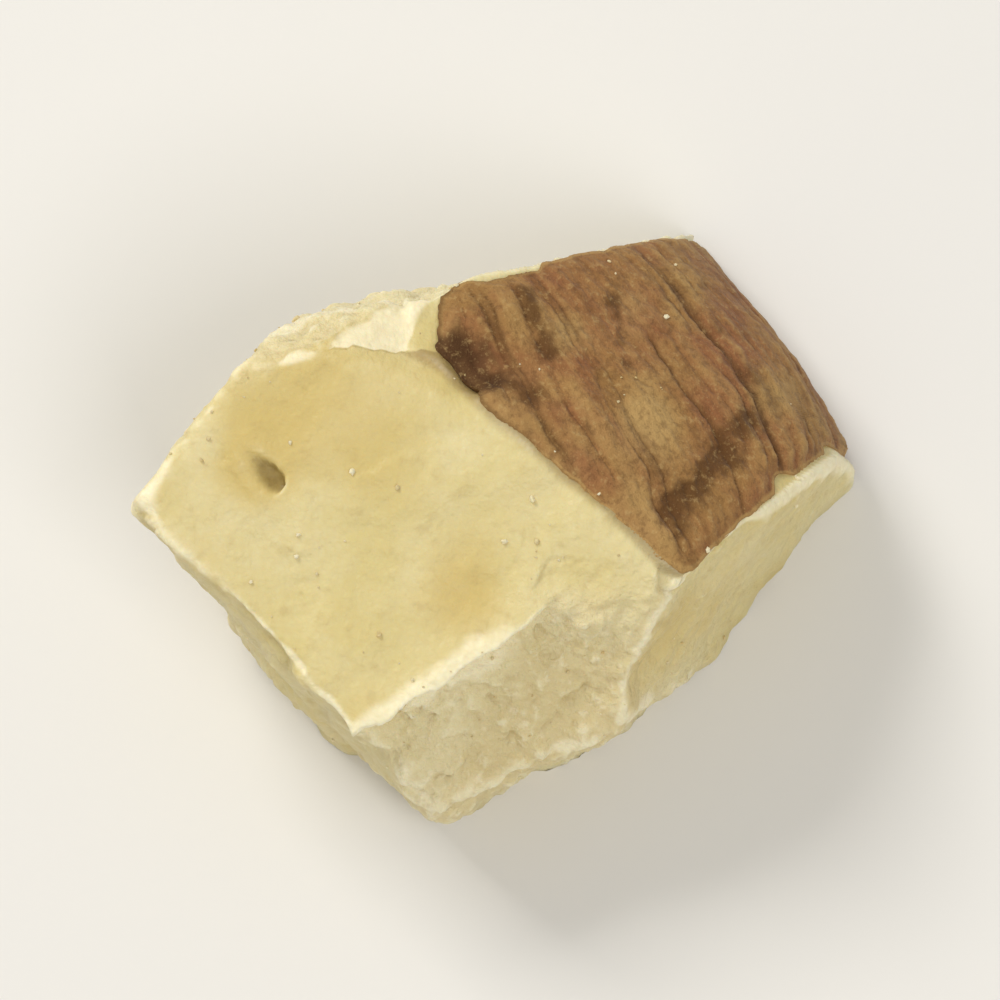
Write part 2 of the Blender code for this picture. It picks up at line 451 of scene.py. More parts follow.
@dataclass(frozen=True)
class Ledge:
    """The tongue of the top face that stands over the front facet, up to the ridge where it broke out."""

    from_mm: Spot = (-1.38, -2.58, 2.98)
    to_mm: Spot = (0.21, -1.55, 3.25)
    fade: Span = (0.6, 1.5)
    height_mm: float = 0.50
    step_width_mm: float = 0.10
    rise: Span = (1.0, 1.75)
    rise_mm: float = 0.40
    wander: Swell = Swell(5, 0.5, 2, 0.07)

    def along_and_beyond(self, points: Array, cut: Cut) -> tuple[Array, Array]:
        """How far along the ridge each point lies, and how far past it.

        Args:
            points: places on the top cut.
            cut: the top cut, in which the ridge lies.

        Returns:
            the share of the ridge's length, and the distance past it, which wanders as a torn edge does.
        """
        start = np.array(self.from_mm)
        ridge = np.array(self.to_mm) - start
        length = np.linalg.norm(ridge)
        beyond = (points - start) @ np.cross(ridge / length, cut.outward()) + self.wander.at(points)
        return (points - start) @ ridge / length**2, beyond

    def lasting(self, along: Array) -> Array:
        """How much of the ledge is left this far along its ridge."""
        return 1.0 - smooth_step(along, *self.fade)


class Bare(NamedTuple):
    """The bare form in each direction from the middle, before its relief."""

    reach: Array
    points: Array
    pushed: Array  # how far each face is pushed out, one row to a face
    shares: Array  # each face's share of the form, one row to a face
    under: Array  # how far the kernel's outside lies under the cuts, in millimetres
    margin: Array  # the same, less what has peeled off: above 0 where there is seed coat


@dataclass(frozen=True)
class DicedForm:
    """The piece's form: how far it reaches from its middle in each direction, and its relief."""

    kernel: Kernel = Kernel()
    ledge: Ledge = Ledge()
    middle_height_mm: float = 1.9
    foot_mm: Spot = (-0.06, -0.23, 0.0)
    cuts: tuple[Cut, ...] = (
        Cut(266.0, 76.0, 1.71, Made.SLICED),
        Cut(290.0, 53.0, 1.80, Made.SNAPPED),
        Cut(145.0, 6.0, 3.14, Made.SHEARED),
        Cut(107.0, 8.0, 2.58, Made.SNAPPED),
        Cut(222.0, -7.0, 2.80, Made.SHEARED),
        Cut(299.0, -12.0, 2.62, Made.SNAPPED),
        Cut(326.0, 6.0, 2.48, Made.SHEARED),
        Cut(186.0, -22.0, 3.48, Made.SNAPPED),
        Cut(258.0, -30.0, 3.42, Made.SNAPPED),
        Cut(112.0, 46.0, 2.92, Made.SNAPPED),
        Cut(0.0, -90.0, 1.97, Made.SPLIT),
    )
    # How sharp its corners are, and how far off a cut is still looked for.
    corner_power: float = 40.0
    far_reach_mm: float = 20.0
    bites: tuple[Bite, ...] = (
        Bite(27.0, -2.0, 1.5, -0.25),
        Bite(167.0, 16.0, 0.55, 0.13),
        Bite(203.0, 30.0, 0.50, 0.12),
        Bite(246.0, 12.0, 0.60, 0.15),
        Bite(262.0, -8.0, 0.45, 0.10),
        Bite(318.0, 8.0, 0.50, 0.12),
        Bite(120.0, 40.0, 0.60, 0.12),
        Bite(95.0, -20.0, 0.55, 0.14),
        Bite(185.0, -25.0, 0.50, 0.12),
        Bite(20.0, -24.0, 0.45, 0.10),
    )
    peeled: tuple[Bite, ...] = (Bite(14.0, -4.0, 1.5, 0.14), Bite(128.0, 50.0, 0.9, 0.26))
    # Its relief: waves, and tilted flakes.
    wave_seed: int = 7
    wave_count: int = 14
    wave_lengths_mm: Span = (0.9, 3.2)
    wave_height_mm: float = 0.09
    flake_seed: int = 11
    flake_count: int = 90
    flake_box_mm: float = 4.4
    flake_slope: float = 0.16
    flake_height_mm: float = 0.07
    flake_step_mm: float = 0.035
    flake_sharpness: float = 6.0

    def middle(self) -> Array:
        """The point that every reach is measured from."""
        return np.array([0.0, 0.0, self.middle_height_mm])

    def nearness(self, directions: Array, pushed: Array) -> Array:
        """One over the reach of each face alone: for a cut, the cosine to its outward way over its distance.

        Args:
            directions: unit directions from the middle.
            pushed: how far each face is pushed out in each direction, one row to a face.

        Returns:
            one row to a face.
        """
        rows = [1.0 / (1.0 / self.kernel.nearness(directions, self.middle()) + pushed[COAT])]
        for cut, push in zip(self.cuts, pushed[TOP:]):
            rows.append(np.clip(directions @ cut.outward(), 0.0, None) / (cut.distance_mm + push))
        return np.array(rows)

    def ledge_push(self, directions: Array) -> Array:
        """How far the ledge pushes each face out: only the front facet, which is held off under the tongue.

        It also rises towards the seed coat, where the break ran out.

        Args:
            directions: unit directions from the middle.

        Returns:
            the pushes in millimetres, one row to a face.
        """
        level = np.zeros((1 + len(self.cuts), len(directions)))
        top = self.nearness(directions, level)[TOP]
        on_top = self.middle() + directions / np.maximum(top, 1.0 / self.far_reach_mm)[:, None]
        along, beyond = self.ledge.along_and_beyond(on_top, self.cuts[0])
        held = self.ledge.lasting(along) * (1.0 - smooth_step(beyond, 0.0, self.ledge.step_width_mm))
        level[FRONT] = self.ledge.height_mm * held + self.ledge.rise_mm * smooth_step(along, *self.ledge.rise)
        return level

    def reach(self, directions: Array, pushed: Array, power: Array | float) -> tuple[Array, Array]:
        """The reach of all faces together: (the sum of nearness^p)^(-1/p).

        Args:
            directions: unit directions from the middle.
            pushed: how far each face is pushed out in each direction, one row to a face.
            power: p, and the higher it is, the sharper the edges are.

        Returns:
            the reaches in millimetres, and each face's share of the sum, one row to a face.
        """
        powers = self.nearness(directions, pushed) ** power
        total = powers.sum(axis=0)
        return total ** (-1.0 / power), powers / total

    def place_of(self, azimuth_deg: float, elevation_deg: float) -> Array:
        """The point of the bare form in one direction from the middle.

        Args:
            azimuth_deg: the direction's azimuth.
            elevation_deg: its elevation.

        Returns:
            the point.
        """
        direction = unit(azimuth_deg, elevation_deg)[None, :]
        reach = self.reach(direction, self.ledge_push(direction), self.corner_power)[0]
        return self.middle() + direction[0] * reach

    def hollowed(self, points: Array, bite: Bite) -> Array:
        """One bite's depth at each point."""
        away = np.linalg.norm(points - self.place_of(bite.azimuth_deg, bite.elevation_deg), axis=1)
        return bite.depth_mm * near(away, bite.radius_mm)

    def bare(self, directions: Array) -> Bare:
        """The form before its relief.

        A share s of a sum of powers p is turned back into a difference of reach by ln(s / (1 - s)) / p.

        Args:
            directions: unit directions from the middle.

        Returns:
            the bare form.
        """
        pushed = self.ledge_push(directions)
        reach, shares = self.reach(directions, pushed, self.corner_power)
        points = self.middle() + directions * reach[:, None]
        safe = np.clip(shares[COAT], LEAST, 1.0 - LEAST)
        under = reach * np.log(safe / (1.0 - safe)) / self.corner_power
        peeled = sum(self.hollowed(points, place) for place in self.peeled)
        return Bare(reach, points, pushed, shares, under, under - peeled)

    def waves(self, points: Array) -> Array:
        """The height of seeded sine waves, each as high as its share of all their lengths.

        Args:
            points: places on the bare form.

        Returns:
            heights in millimetres.
        """
        rng = np.random.default_rng(self.wave_seed)
        shortest, longest = self.wave_lengths_mm
        lengths = shortest * (longest / shortest) ** rng.random(self.wave_count)
        axes = rng.normal(size=(self.wave_count, 3))
        axes /= np.linalg.norm(axes, axis=1, keepdims=True)
        phases = rng.random(self.wave_count) * math.tau
        angles = points @ (axes * (math.tau / lengths)[:, None]).T + phases
        return self.wave_height_mm * np.sin(angles) @ (lengths / lengths.sum())

    def flakes(self, points: Array) -> Array:
        """Tilted facets: each seeded cell has a slope and a step, blended by exp(-sharpness x distance^2).

        Args:
            points: places on the bare form.

        Returns:
            heights in millimetres.
        """
        rng = np.random.default_rng(self.flake_seed)
        box = self.flake_box_mm
        cells = rng.uniform(-box, box, (self.flake_count, 3)) + self.middle()
        slopes = rng.normal(0.0, self.flake_slope, (self.flake_count, 3))
        steps = rng.uniform(-self.flake_step_mm, self.flake_step_mm, self.flake_count)
        squares = ((points**2).sum(axis=1)[:, None] - 2.0 * points @ cells.T) + (cells**2).sum(axis=1)
        weights = np.exp(-self.flake_sharpness * (squares - squares.min(axis=1, keepdims=True)))
        weights /= weights.sum(axis=1, keepdims=True)
        tilts = points @ slopes.T - (cells * slopes).sum(axis=1)
        facets = np.clip(tilts, -self.flake_height_mm, self.flake_height_mm) + steps
        return (weights * facets).sum(axis=1)

    def bitten(self, points: Array) -> Array:
        """The depth that all the bites take out, less what the one swelling adds."""
        return sum(self.hollowed(points, bite) for bite in self.bites)


class Patch(NamedTuple):
    """A soft round place that differs from the rest: where it lies, its radius and its strength."""

    at_mm: Spot
    radius_mm: float
    strength: float


def patched(points: Array, patches: tuple[Patch, ...]) -> Array:
    """The sum of the patches at each point, each its strength times how near it is."""
    away = [np.linalg.norm(points - np.array(patch.at_mm), axis=1) for patch in patches]
    return sum(patch.strength * near(distance, patch.radius_mm) for patch, distance in zip(patches, away))


class Zones(NamedTuple):
    """What lies where on the bare form, each a share from 0 to 1 at each point."""

    soft: Array  # each face, with broad fades between them, one row to a face
    melting: Array  # where the top face runs over into the front facet, past the end of the ledge
    cut: Array  # where there is no seed coat
    upper: Array  # where the top face or the front facet is the nearest cut
    ridge: Array  # the lip on the ledge
    behind: Array  # the hollow behind the lip
    rim: Array  # every edge, the ridge, and the flesh along the seed coat's lower edge, painted pale: bruising, scraping and painted highlights
    torn: Array  # how roughly the flesh broke


@dataclass(frozen=True)
class Flesh:
    """The roasted flesh of the seed leaf, with its knife marks, torn faces, pores and browned places, and
    painted highlights, shade and shadow over them.
    """

    form: DicedForm
    # The mesh starts as this box of squares, of these half sizes.
    squares: tuple[int, int, int] = (166, 146, 76)
    box_mm: Spot = (3.9, 3.4, 1.95)
    # How sharp the edges between faces are.
    soft_power: float = 15.0
    edge_powers: Span = (38.0, 95.0)
    edge_swell: Swell = Swell(29, 0.8)
    edge_swell_span: Span = (-0.5, 0.6)
    melted_power: float = 13.0
    melting_shares: Span = (0.5, 0.95)
    # Torn faces: swells, creases, brittle flakes and broad steps.
    flakes_on_top: float = 0.35
    least_share: float = 0.002
    tear: Swell = Swell(40, 0.85, 4, 0.075)
    bends: tuple[Swell, ...] = tuple(Swell(seed, 0.6, height=0.22) for seed in (151, 152, 153))
    creases: tuple[Swell, ...] = tuple(Swell(160 + k, 0.5 * 0.55**k, height=0.5**k) for k in range(3))
    crease_depth_mm: float = 0.05
    crease_round: float = 0.02
    crease_mean: float = 0.75
    flake_cells: Cells = Cells(17, 0.34)
    flake_height_mm: float = 0.06
    flake_fade: float = 0.3
    plateau_cells: Cells = Cells(19, 0.62)
    plateau_height_mm: float = 0.06
    plateau_fade: float = 0.2
    # The knife's scores on the top cut.
    knife_turn_deg: float = -50.0
    knife_sway_mm: float = 0.05
    knife_sway_per_mm: float = 0.9
    knife_stretch: float = 14.0
    knife_upright: float = 0.3
    knife_marks: tuple[Swell, ...] = (Swell(61, 0.13, 2, 0.006), Swell(67, 0.585, 1, 0.0084))
    # Grain, crumbs and pores.
    grain: Swell = Swell(43, 0.16, 2, 0.005)
    crumbs: Swell = Swell(45, 0.20, 2, 0.026)
    pore_cells: Cells = Cells(23, 0.42)
    pore_depth_mm: float = 0.045
    pore_least_depth: float = 0.4
    pore_radius: float = 0.10
    pore_radius_spread: float = 0.13
    pore_free: float = 0.68
    # Bruising and chips at the edges, with a painted highlight along them, and flesh bared by scraping under
    # the seed coat, painted pale as a highlight.
    bruise_highlights: Swell = Swell(33, 0.5, 3, 1.2, 0.72)
    bruise_highlight_span: Span = (0.05, 1.3)
    bruise_highlight_under_mm: Span = (-0.08, 0.02)
    scraped_highlight_mm: Span = (-0.30, 0.0)
    scraped_highlight_narrow: float = 0.4
    scraped_highlight_to_coat_mm: Span = (-0.02, 0.05)
    scraped_highlight_smoother: float = 0.7
    # How much the ridge is painted paler: a painted highlight along the lip.
    ridge_highlight: float = 1.15
    chips: Swell = Swell(37, 0.55, 2, mean=-0.28)
    chip_depth_mm: float = 0.16
    # The lip on the ridge, and the hollow behind it.
    lip_mm: float = 0.09
    lip_width_mm: float = 0.19
    behind_lip_mm: float = 0.04
    behind_lip_widths: float = 2.4
    # The bed of the seed coat, and the stain along its edge.
    under_coat_mm: float = 0.05
    under_coat_from_mm: Span = (0.02, 0.25)
    coat_edge_mm: Span = (-0.03, 0.04)
    edge_stain: float = 0.65
    edge_stain_mm: Span = (-0.10, 0.02)
    # The notch at the seed coat's corner, and the pit with its tail.
    notch: Bite = Bite(99.5, 54.0, 0.30, 0.22)
    notch_wander: Swell = Swell(73, 0.35, 2, 0.07)
    pit_deg: Span = (178.9, 35.5)
    pit_long_mm: float = 0.17
    pit_wide_mm: float = 0.12
    pit_depth_mm: float = 0.15
    pit_wander: Swell = Swell(71, 0.22, 3, 0.45, 1.0)
    tail_mm: float = 0.62
    tail_turn_deg: float = 127.0
    tail_narrowing: float = 0.55
    tail_shallow: float = 0.6
    tail_shallow_mm: Span = (0.05, 0.4)
    # The underside.
    dips: Swell = Swell(47, 1.5, 2)
    dip_span: Span = (0.1, 0.7)
    dip_depth_mm: float = 0.16
    # What the colours follow.
    golden: Swell = Swell(83, 1.7, 3, 0.34, 0.30)
    rim_less_golden: float = 0.12
    # How much the pores are darkened: painted shade.
    pore_shade: float = 0.35
    proud_passes: int = 14
    # Most patches are toasting; those at (-0.35, -1.2), (2.2, -1.3) and (0.5, -2.5) are painted shade: behind
    # the ridge, on the right face and along the lower edge.
    patches: tuple[Patch, ...] = (
        Patch((-1.9, 1.0, 3.75), 1.35, 0.40),
        Patch((-2.55, 0.2, 3.6), 0.45, 1.0),
        Patch((-0.35, -1.2, 3.3), 0.5, 0.6),
        Patch((-1.56, -0.98, 3.6), 0.6, -0.5),
        Patch((0.73, -0.71, 3.3), 0.6, -0.4),
        Patch((0.2, -3.1, 1.6), 1.0, 0.6),
        Patch((-3.5, -0.4, 1.0), 1.0, 0.35),
        Patch((2.9, -1.4, 1.0), 1.1, 0.3),
        Patch((2.2, -1.3, 2.2), 1.2, 0.45),
        Patch((0.5, -2.5, 2.0), 0.7, 0.45),
        Patch((-0.6, 2.3, 1.2), 1.2, 0.45),
    )

    def zones(self, bare: Bare, soft: Array) -> Zones:
        """Finds what lies where.

        An edge is painted pale where no face has the whole share: bruising, and a painted highlight. The top
        face and the front facet count as one, as they run into each other. The flesh bared along the seed
        coat's lower edge is painted pale as a highlight too, and is broad where the edges' bruising and
        highlight are strongest.

        Args:
            bare: the bare form.
            soft: each face's share there with broad fades, one row to a face.

        Returns:
            the zones at the form's points.
        """
        top_and_front = soft[TOP] + soft[FRONT]
        along, beyond = self.form.ledge.along_and_beyond(bare.points, self.form.cuts[0])
        lasting = self.form.ledge.lasting(along)
        cut = 1.0 - smooth_step(bare.margin, *self.coat_edge_mm)
        upper = top_and_front > soft[SIDES:].max(axis=0)
        ridge = lasting * near(beyond, self.lip_width_mm) * top_and_front
        past_lip = beyond + self.behind_lip_widths * self.lip_width_mm
        behind = lasting * near(past_lip, self.lip_width_mm) * soft[TOP]

        of_cuts = bare.shares / np.maximum(1.0 - bare.shares[COAT], LEAST)
        whole = np.maximum(of_cuts[TOP] + of_cuts[FRONT], of_cuts[SIDES:].max(axis=0))
        bruise_highlight = np.clip(self.bruise_highlights.at(bare.points), *self.bruise_highlight_span)
        edge = np.clip(2.0 * bruise_highlight * (1.0 - whole), 0.0, 1.0)
        edge = edge * (1.0 - smooth_step(bare.under, *self.bruise_highlight_under_mm))
        breadth = self.scraped_highlight_narrow + (1.0 - self.scraped_highlight_narrow) * bruise_highlight
        scraped_highlight = smooth_step(bare.under / breadth, *self.scraped_highlight_mm) * ~upper
        scraped_highlight = scraped_highlight * (1.0 - smooth_step(bare.margin, *self.scraped_highlight_to_coat_mm))
        # The rim is painted pale: bruising and scraping, and painted highlights on the edges, the ridge and
        # the flesh along the seed coat.
        rim = np.maximum.reduce([edge, np.clip(self.ridge_highlight * ridge, 0.0, 1.0), scraped_highlight])

        made = np.array([face.made.value for face in self.form.cuts])[:, None]
        torn = cut * (soft[TOP:] * made).sum(axis=0) / np.maximum(1.0 - soft[COAT], LEAST)
        torn *= 1.0 - self.scraped_highlight_smoother * scraped_highlight
        melting = smooth_step(top_and_front, *self.melting_shares) * (1.0 - lasting)
        return Zones(soft, melting, cut, upper, ridge, behind, rim, torn)

    def roughness(self, points: Array, soft: Array) -> Array:
        """How far each face is pushed out or in by the way it was made.

        A torn face has swells, creases where a bent swell passes through zero, and broad steps and brittle
        flakes: cells round seeds, with a height or a slope that fades at their edge. The top face is scored.

        Args:
            points: places on the bare form.
            soft: each face's share there with broad fades, one row to a face.

        Returns:
            the pushes in millimetres, one row to a face.
        """
        bent = points + np.stack([bend.at(points) for bend in self.bends], axis=1)
        flake, broad = self.flake_cells.nearest(bent), self.plateau_cells.nearest(bent)
        tilt = (flake.offset * (flake.draws * 2.0 - 1.0)).sum(axis=1)
        tilt = tilt * smooth_step(flake.second - flake.first, 0.0, self.flake_fade)
        slope = (broad.offset * (broad.draws[:, [1, 2, 0]] * 2.0 - 1.0)).sum(axis=1)
        plateau = broad.draws[:, 0] - 0.5 + slope
        plateau = plateau * smooth_step(broad.second - broad.first, 0.0, self.plateau_fade)
        folds = sum(np.abs(crease.at(bent)) for crease in self.creases)
        crease = np.sqrt(folds + self.crease_round) - self.crease_mean
        flaked = self.flake_height_mm * tilt + self.plateau_height_mm * plateau
        flaked += self.crease_depth_mm * crease

        pushed = np.zeros_like(soft)
        for row, cut in enumerate(self.form.cuts, start=TOP):
            there = soft[row] > self.least_share
            torn = self.tear._replace(seed=self.tear.seed + row).at(points[there])
            pushed[row, there] = cut.made.value * (torn + flaked[there])
        pushed[TOP] += self.scored(points)
        return pushed

    def scored(self, points: Array) -> Array:
        """Fine scores on the top cut: swells that are short across the knife's way and long along it.

        Args:
            points: places on the bare form.

        Returns:
            their height in millimetres.
        """
        way, side = unit(self.knife_turn_deg, 0.0), unit(self.knife_turn_deg + 90.0, 0.0)
        along = points @ way
        across = points @ side + self.knife_sway_mm * np.sin(along * self.knife_sway_per_mm)
        upright = points[:, 2] * self.knife_upright
        drawn_out = np.stack([along / self.knife_stretch, across, upright], axis=1)
        return sum(mark.at(drawn_out) for mark in self.knife_marks)

    def pores(self, points: Array) -> tuple[Array, Array]:
        """Small round holes with a floor like a bowl, at about one seed in three.

        Args:
            points: places on the bare form.

        Returns:
            their depth in millimetres, and its share of the deepest point of each.
        """
        seeds = self.pore_cells.nearest(points)
        size, chance, depth = seeds.draws.T
        radius = self.pore_radius + self.pore_radius_spread * size
        bowl = (chance > self.pore_free) * np.clip(1.0 - (seeds.first / radius) ** 2, 0.0, 1.0)
        return self.pore_depth_mm * (self.pore_least_depth + depth) * bowl, bowl

    def pitted(self, points: Array) -> Array:
        """The share of the deepest pit: exp(-q^3), where q is the distance on an egg shape.

        The egg is drawn out to one side into a tail, and its outline is made ragged by swells.

        Args:
            points: places on the bare form.

        Returns:
            shares from 0 to 1.
        """
        away = points - self.form.place_of(*self.pit_deg)
        long_way = away @ unit(self.tail_turn_deg, 0.0)
        wide_way = np.sqrt(np.maximum((away * away).sum(axis=1) - long_way**2, 0.0))
        length = np.where(long_way > 0.0, self.tail_mm, self.pit_long_mm)
        width = self.pit_wide_mm * (1.0 - self.tail_narrowing * smooth_step(long_way, 0.0, self.tail_mm))
        egg = self.pit_wander.at(points) * np.sqrt((long_way / length) ** 2 + (wide_way / width) ** 2)
        deep = 1.0 - self.tail_shallow * smooth_step(long_way, *self.tail_shallow_mm)
        return deep * near(egg, 1.0, 3)

    def notched(self, points: Array) -> Array:
        """The share of the notch at each point, where the seed coat's corner tore out with some flesh."""
        away = np.linalg.norm(points - self.form.place_of(*self.notch[:2]), axis=1)
        return near(np.clip(away + self.notch_wander.at(points), 0.0, None), self.notch.radius_mm, 3)

    def surface(self, directions: Array) -> tuple[Array, dict[str, Array]]:
        """The flesh in each direction from the middle.

        The bare form's faces are pushed in and out by how each was made, so that the edges where they meet
        wander. The relief, the bites, the pores and the grain are then added along the direction.

        Args:
            directions: unit directions from the middle.

        Returns:
            its points, and what its colour depends on there, by name, each from 0 to 1.
        """
        form = self.form
        bare = form.bare(directions)
        points, margin = bare.points, bare.margin
        zones = self.zones(bare, form.reach(directions, bare.pushed, self.soft_power)[1])
        cut, hidden = zones.cut, zones.soft[REST]
        low, high = self.edge_powers
        power = low + (high - low) * smooth_step(self.edge_swell.at(points), *self.edge_swell_span)
        power = power + (self.melted_power - power) * zones.melting
        reach = form.reach(directions, bare.pushed + self.roughness(points, zones.soft), power)[0]

        pore_depth, pore = self.pores(points)
        pit, notch = self.pitted(points), self.notched(points)
        chipped = np.clip(self.chips.at(points), 0.0, 1.0) * zones.rim
        flaked = cut * (1.0 - (1.0 - self.flakes_on_top) * bare.shares[TOP])
        relief = form.waves(points) + flaked * form.flakes(points) - form.bitten(points)
        relief += self.lip_mm * zones.ridge - self.behind_lip_mm * zones.behind
        relief -= cut * (pore_depth + self.chip_depth_mm * chipped) * (1.0 - hidden)
        relief -= self.pit_depth_mm * pit + self.notch.depth_mm * notch
        relief -= self.under_coat_mm * smooth_step(margin, *self.under_coat_from_mm)
        relief += cut * self.grain.at(points) + zones.torn * self.crumbs.at(points)
        relief -= hidden * self.dip_depth_mm * smooth_step(self.dips.at(points), *self.dip_span)
        points = form.middle() + directions * (reach + relief)[:, None]
        points[:, 2] = np.maximum(points[:, 2], 0.0)

        # Toasting, with patches of painted shade, and less golden on the rims, which are painted pale.
        golden = self.golden.at(points) + patched(points, self.patches) - self.rim_less_golden * zones.rim
        stain = self.edge_stain * smooth_step(margin, *self.edge_stain_mm) * zones.upper
        marks = {
            "rim": zones.rim,
            # The notch's share is painted dark over the stain: a painted shadow in the notch.
            "stain": np.maximum(stain, notch),
            # Pit and pores: painted shade in the hollows.
            "hollow": np.clip(pit + self.pore_shade * cut * pore, 0.0, 1.0),
            "toast_and_shade": np.clip(golden, 0.0, 1.0),
            "split": hidden,
            "torn": zones.torn,
        }
        return points, marks

    def build(self) -> Object:
        """Makes the flesh, on a box of squares that is pushed out to the surface.

        Returns:
            the flesh.
        """
        places, faces = box_of_squares(self.squares)
        directions = places * np.array(self.box_mm)
        directions /= np.linalg.norm(directions, axis=1, keepdims=True)
        points, marks = self.surface(directions)
        marks["proud"] = standing_out(points, [faces], self.proud_passes)
        piece = new_piece("almond_flesh", points + np.array(self.form.foot_mm), [faces], marks)
        adopt(piece, RoastedFlesh().material())
        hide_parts(CAD_NODE)
        return piece


class Streak(NamedTuple):
    """A dark furrow in the seed coat: its two ends in plan, its half width and its strength."""

    from_mm: Span
    to_mm: Span
    half_width_mm: float
    strength: float


@dataclass(frozen=True)
class SeedCoat:
    """The brown seed coat: a papery skin with ribs along the kernel, torn ragged where the knife cut it."""

    form: DicedForm
    flesh: Flesh
    # The mesh: rings round this direction.
    centre_deg: Span = (40.0, 31.0)
    columns: int = 560
    outer_rings: int = 140
    inner_rings: int = 8
    probes: int = 420
    probed_deg: Span = (3.0, 85.0)
    outline_window: int = 9
    outline_power: float = 9.0
    # The skin's thickness, and its edge.
    thickness_mm: float = 0.06
    least_mm: float = 0.014
    least_over_flesh: float = 0.8
    sunk_mm: float = 0.08
    edge_round_mm: float = 0.06
    edge_thin_mm: float = 0.25
    edge_dark_mm: float = 0.07
    # Ribs along the kernel.
    rib_spacing_mm: float = 0.80
    rib_height_mm: float = 0.12
    rib_mean: float = 0.75
    rib_level: float = 0.7
    rib_broad: float = 0.65
    rib_narrow: float = 0.35
    narrow_ribs: float = 2.7
    narrow_wander: float = 1.5
    rib_wander: Swell = Swell(95, 2.2, 3, 0.20)
    rib_strength: Swell = Swell(97, 1.1, 2, 0.9, 0.75)
    rib_strengths: Span = (0.15, 1.3)
    # Fibres, scurf and wrinkles.
    fibre_long_mm: float = 1.1
    fibre_wide_mm: float = 0.19
    fibres: Swell = Swell(107, 1.0, 3, 0.018)
    scurf: Swell = Swell(109, 0.11, 2, 0.010)
    wrinkles: Swell = Swell(113, 0.42, 3, 0.024)
    # Dark furrows.
    furrow_depth_mm: float = 0.03
    furrow_bends: tuple[Swell, ...] = (Swell(101, 0.4, height=0.06), Swell(103, 0.4, height=0.06))
    furrow_strength: Swell = Swell(105, 0.3, 3, 0.7, 0.75)
    furrow_strengths: Span = (0.15, 1.2)
    # How far the skin is torn back.
    tears: Swell = Swell(91, 0.45, 3)
    deep_tears: Swell = Swell(93, 0.9)
    deep_tear_span: Span = (0.25, 0.6)
    deep_tear: float = 1.6
    least_torn: float = 0.25
    torn_back_mm: float = 0.08
    notch_back_mm: float = 0.50
    notch_followed: float = 0.85
    tip: Bite = Bite(120.0, 47.0, 0.50, 0.30)
    # Charred places, the painted shadow at the notch, dark edges, and places of wear that are partly painted
    # highlights.
    charring: Swell = Swell(117, 0.30, 3, 0.35)
    # Painted shadow at the notch.
    notch_shadow: tuple[Patch, ...] = (
        Patch((-0.27, 1.32, 3.70), 0.36, 0.95),
        Patch((-0.58, 1.42, 3.74), 0.28, 0.9),
        Patch((0.05, 1.05, 3.65), 0.20, 0.5),
    )
    edge_dark: Swell = Swell(137, 0.6, 2, 0.4, 0.25)
    notch_shadow_reach_mm: float = 1.2
    proud_passes: int = 30
    rubbing: Swell = Swell(131, 1.0, 3, 0.30)
    rubbed_top: float = 0.40
    rubbed_top_mm: float = 0.55
    # Places of wear that are also painted highlights.
    rubbed_and_highlight: tuple[Patch, ...] = (
        Patch((1.60, 0.72, 3.0), 0.48, 1.0),
        Patch((0.35, 1.05, 3.4), 0.40, 0.35),
        Patch((0.86, 1.80, 3.4), 0.34, 0.8),
        Patch((1.65, 2.32, 2.9), 0.42, 0.9),
        Patch((3.20, 1.40, 2.1), 0.60, 0.5),
    )
    streaks: tuple[Streak, ...] = (
        Streak((-0.42, 1.50), (0.32, 0.92), 0.20, 1.0),
        Streak((2.55, 0.90), (1.85, -0.38), 0.20, 1.25),
        Streak((0.32, 2.08), (0.60, 1.45), 0.16, 1.1),
        Streak((1.24, 2.22), (1.40, 1.40), 0.11, 0.7),
        Streak((2.16, 2.50), (2.22, 1.95), 0.12, 0.6),
        Streak((2.55, 1.50), (2.95, 0.85), 0.14, 0.5),
    )

    def around(self, angles: Array, turns: Array) -> Array:
        """Directions away from the skin's centre.

        Args:
            angles: how far away each is, in radians.
            turns: on which ray round the centre it lies, in radians.

        Returns:
            unit directions, in an array of the same shape with one axis more.
        """
        centre = unit(*self.centre_deg)
        side = unit(self.centre_deg[0] + 90.0, 0.0)
        across = np.cos(turns)[..., None] * side + np.sin(turns)[..., None] * np.cross(centre, side)
        return np.cos(angles)[..., None] * centre + np.sin(angles)[..., None] * across

    def ends(self, turns: Array) -> Array:
        """Where each ray from the skin's centre leaves it: the first place where its margin falls under 0.

        The skin is torn back from there by a seeded swell, and further at the notch and at its tip.

        Args:
            turns: the rays' turns in radians.

        Returns:
            the angles from the centre, in radians.
        """
        angles = np.linspace(*np.radians(self.probed_deg), self.probes)
        probes = self.around(np.tile(angles, (len(turns), 1)), np.repeat(turns[:, None], self.probes, axis=1))
        margin = self.form.bare(probes.reshape(-1, 3)).margin.reshape(len(turns), self.probes)
        ends = angles[np.argmax(margin < 0.0, axis=1)]
        bare = self.form.bare(self.around(ends, turns))
        torn = self.least_torn + (1.0 - self.least_torn) * np.abs(self.tears.at(bare.points))
        torn += self.deep_tear * smooth_step(self.deep_tears.at(bare.points), *self.deep_tear_span)
        back_mm = self.torn_back_mm * torn + self.notch_back_mm * self.flesh.notched(bare.points)
        return ends - (back_mm + self.form.hollowed(bare.points, self.tip)) / bare.reach

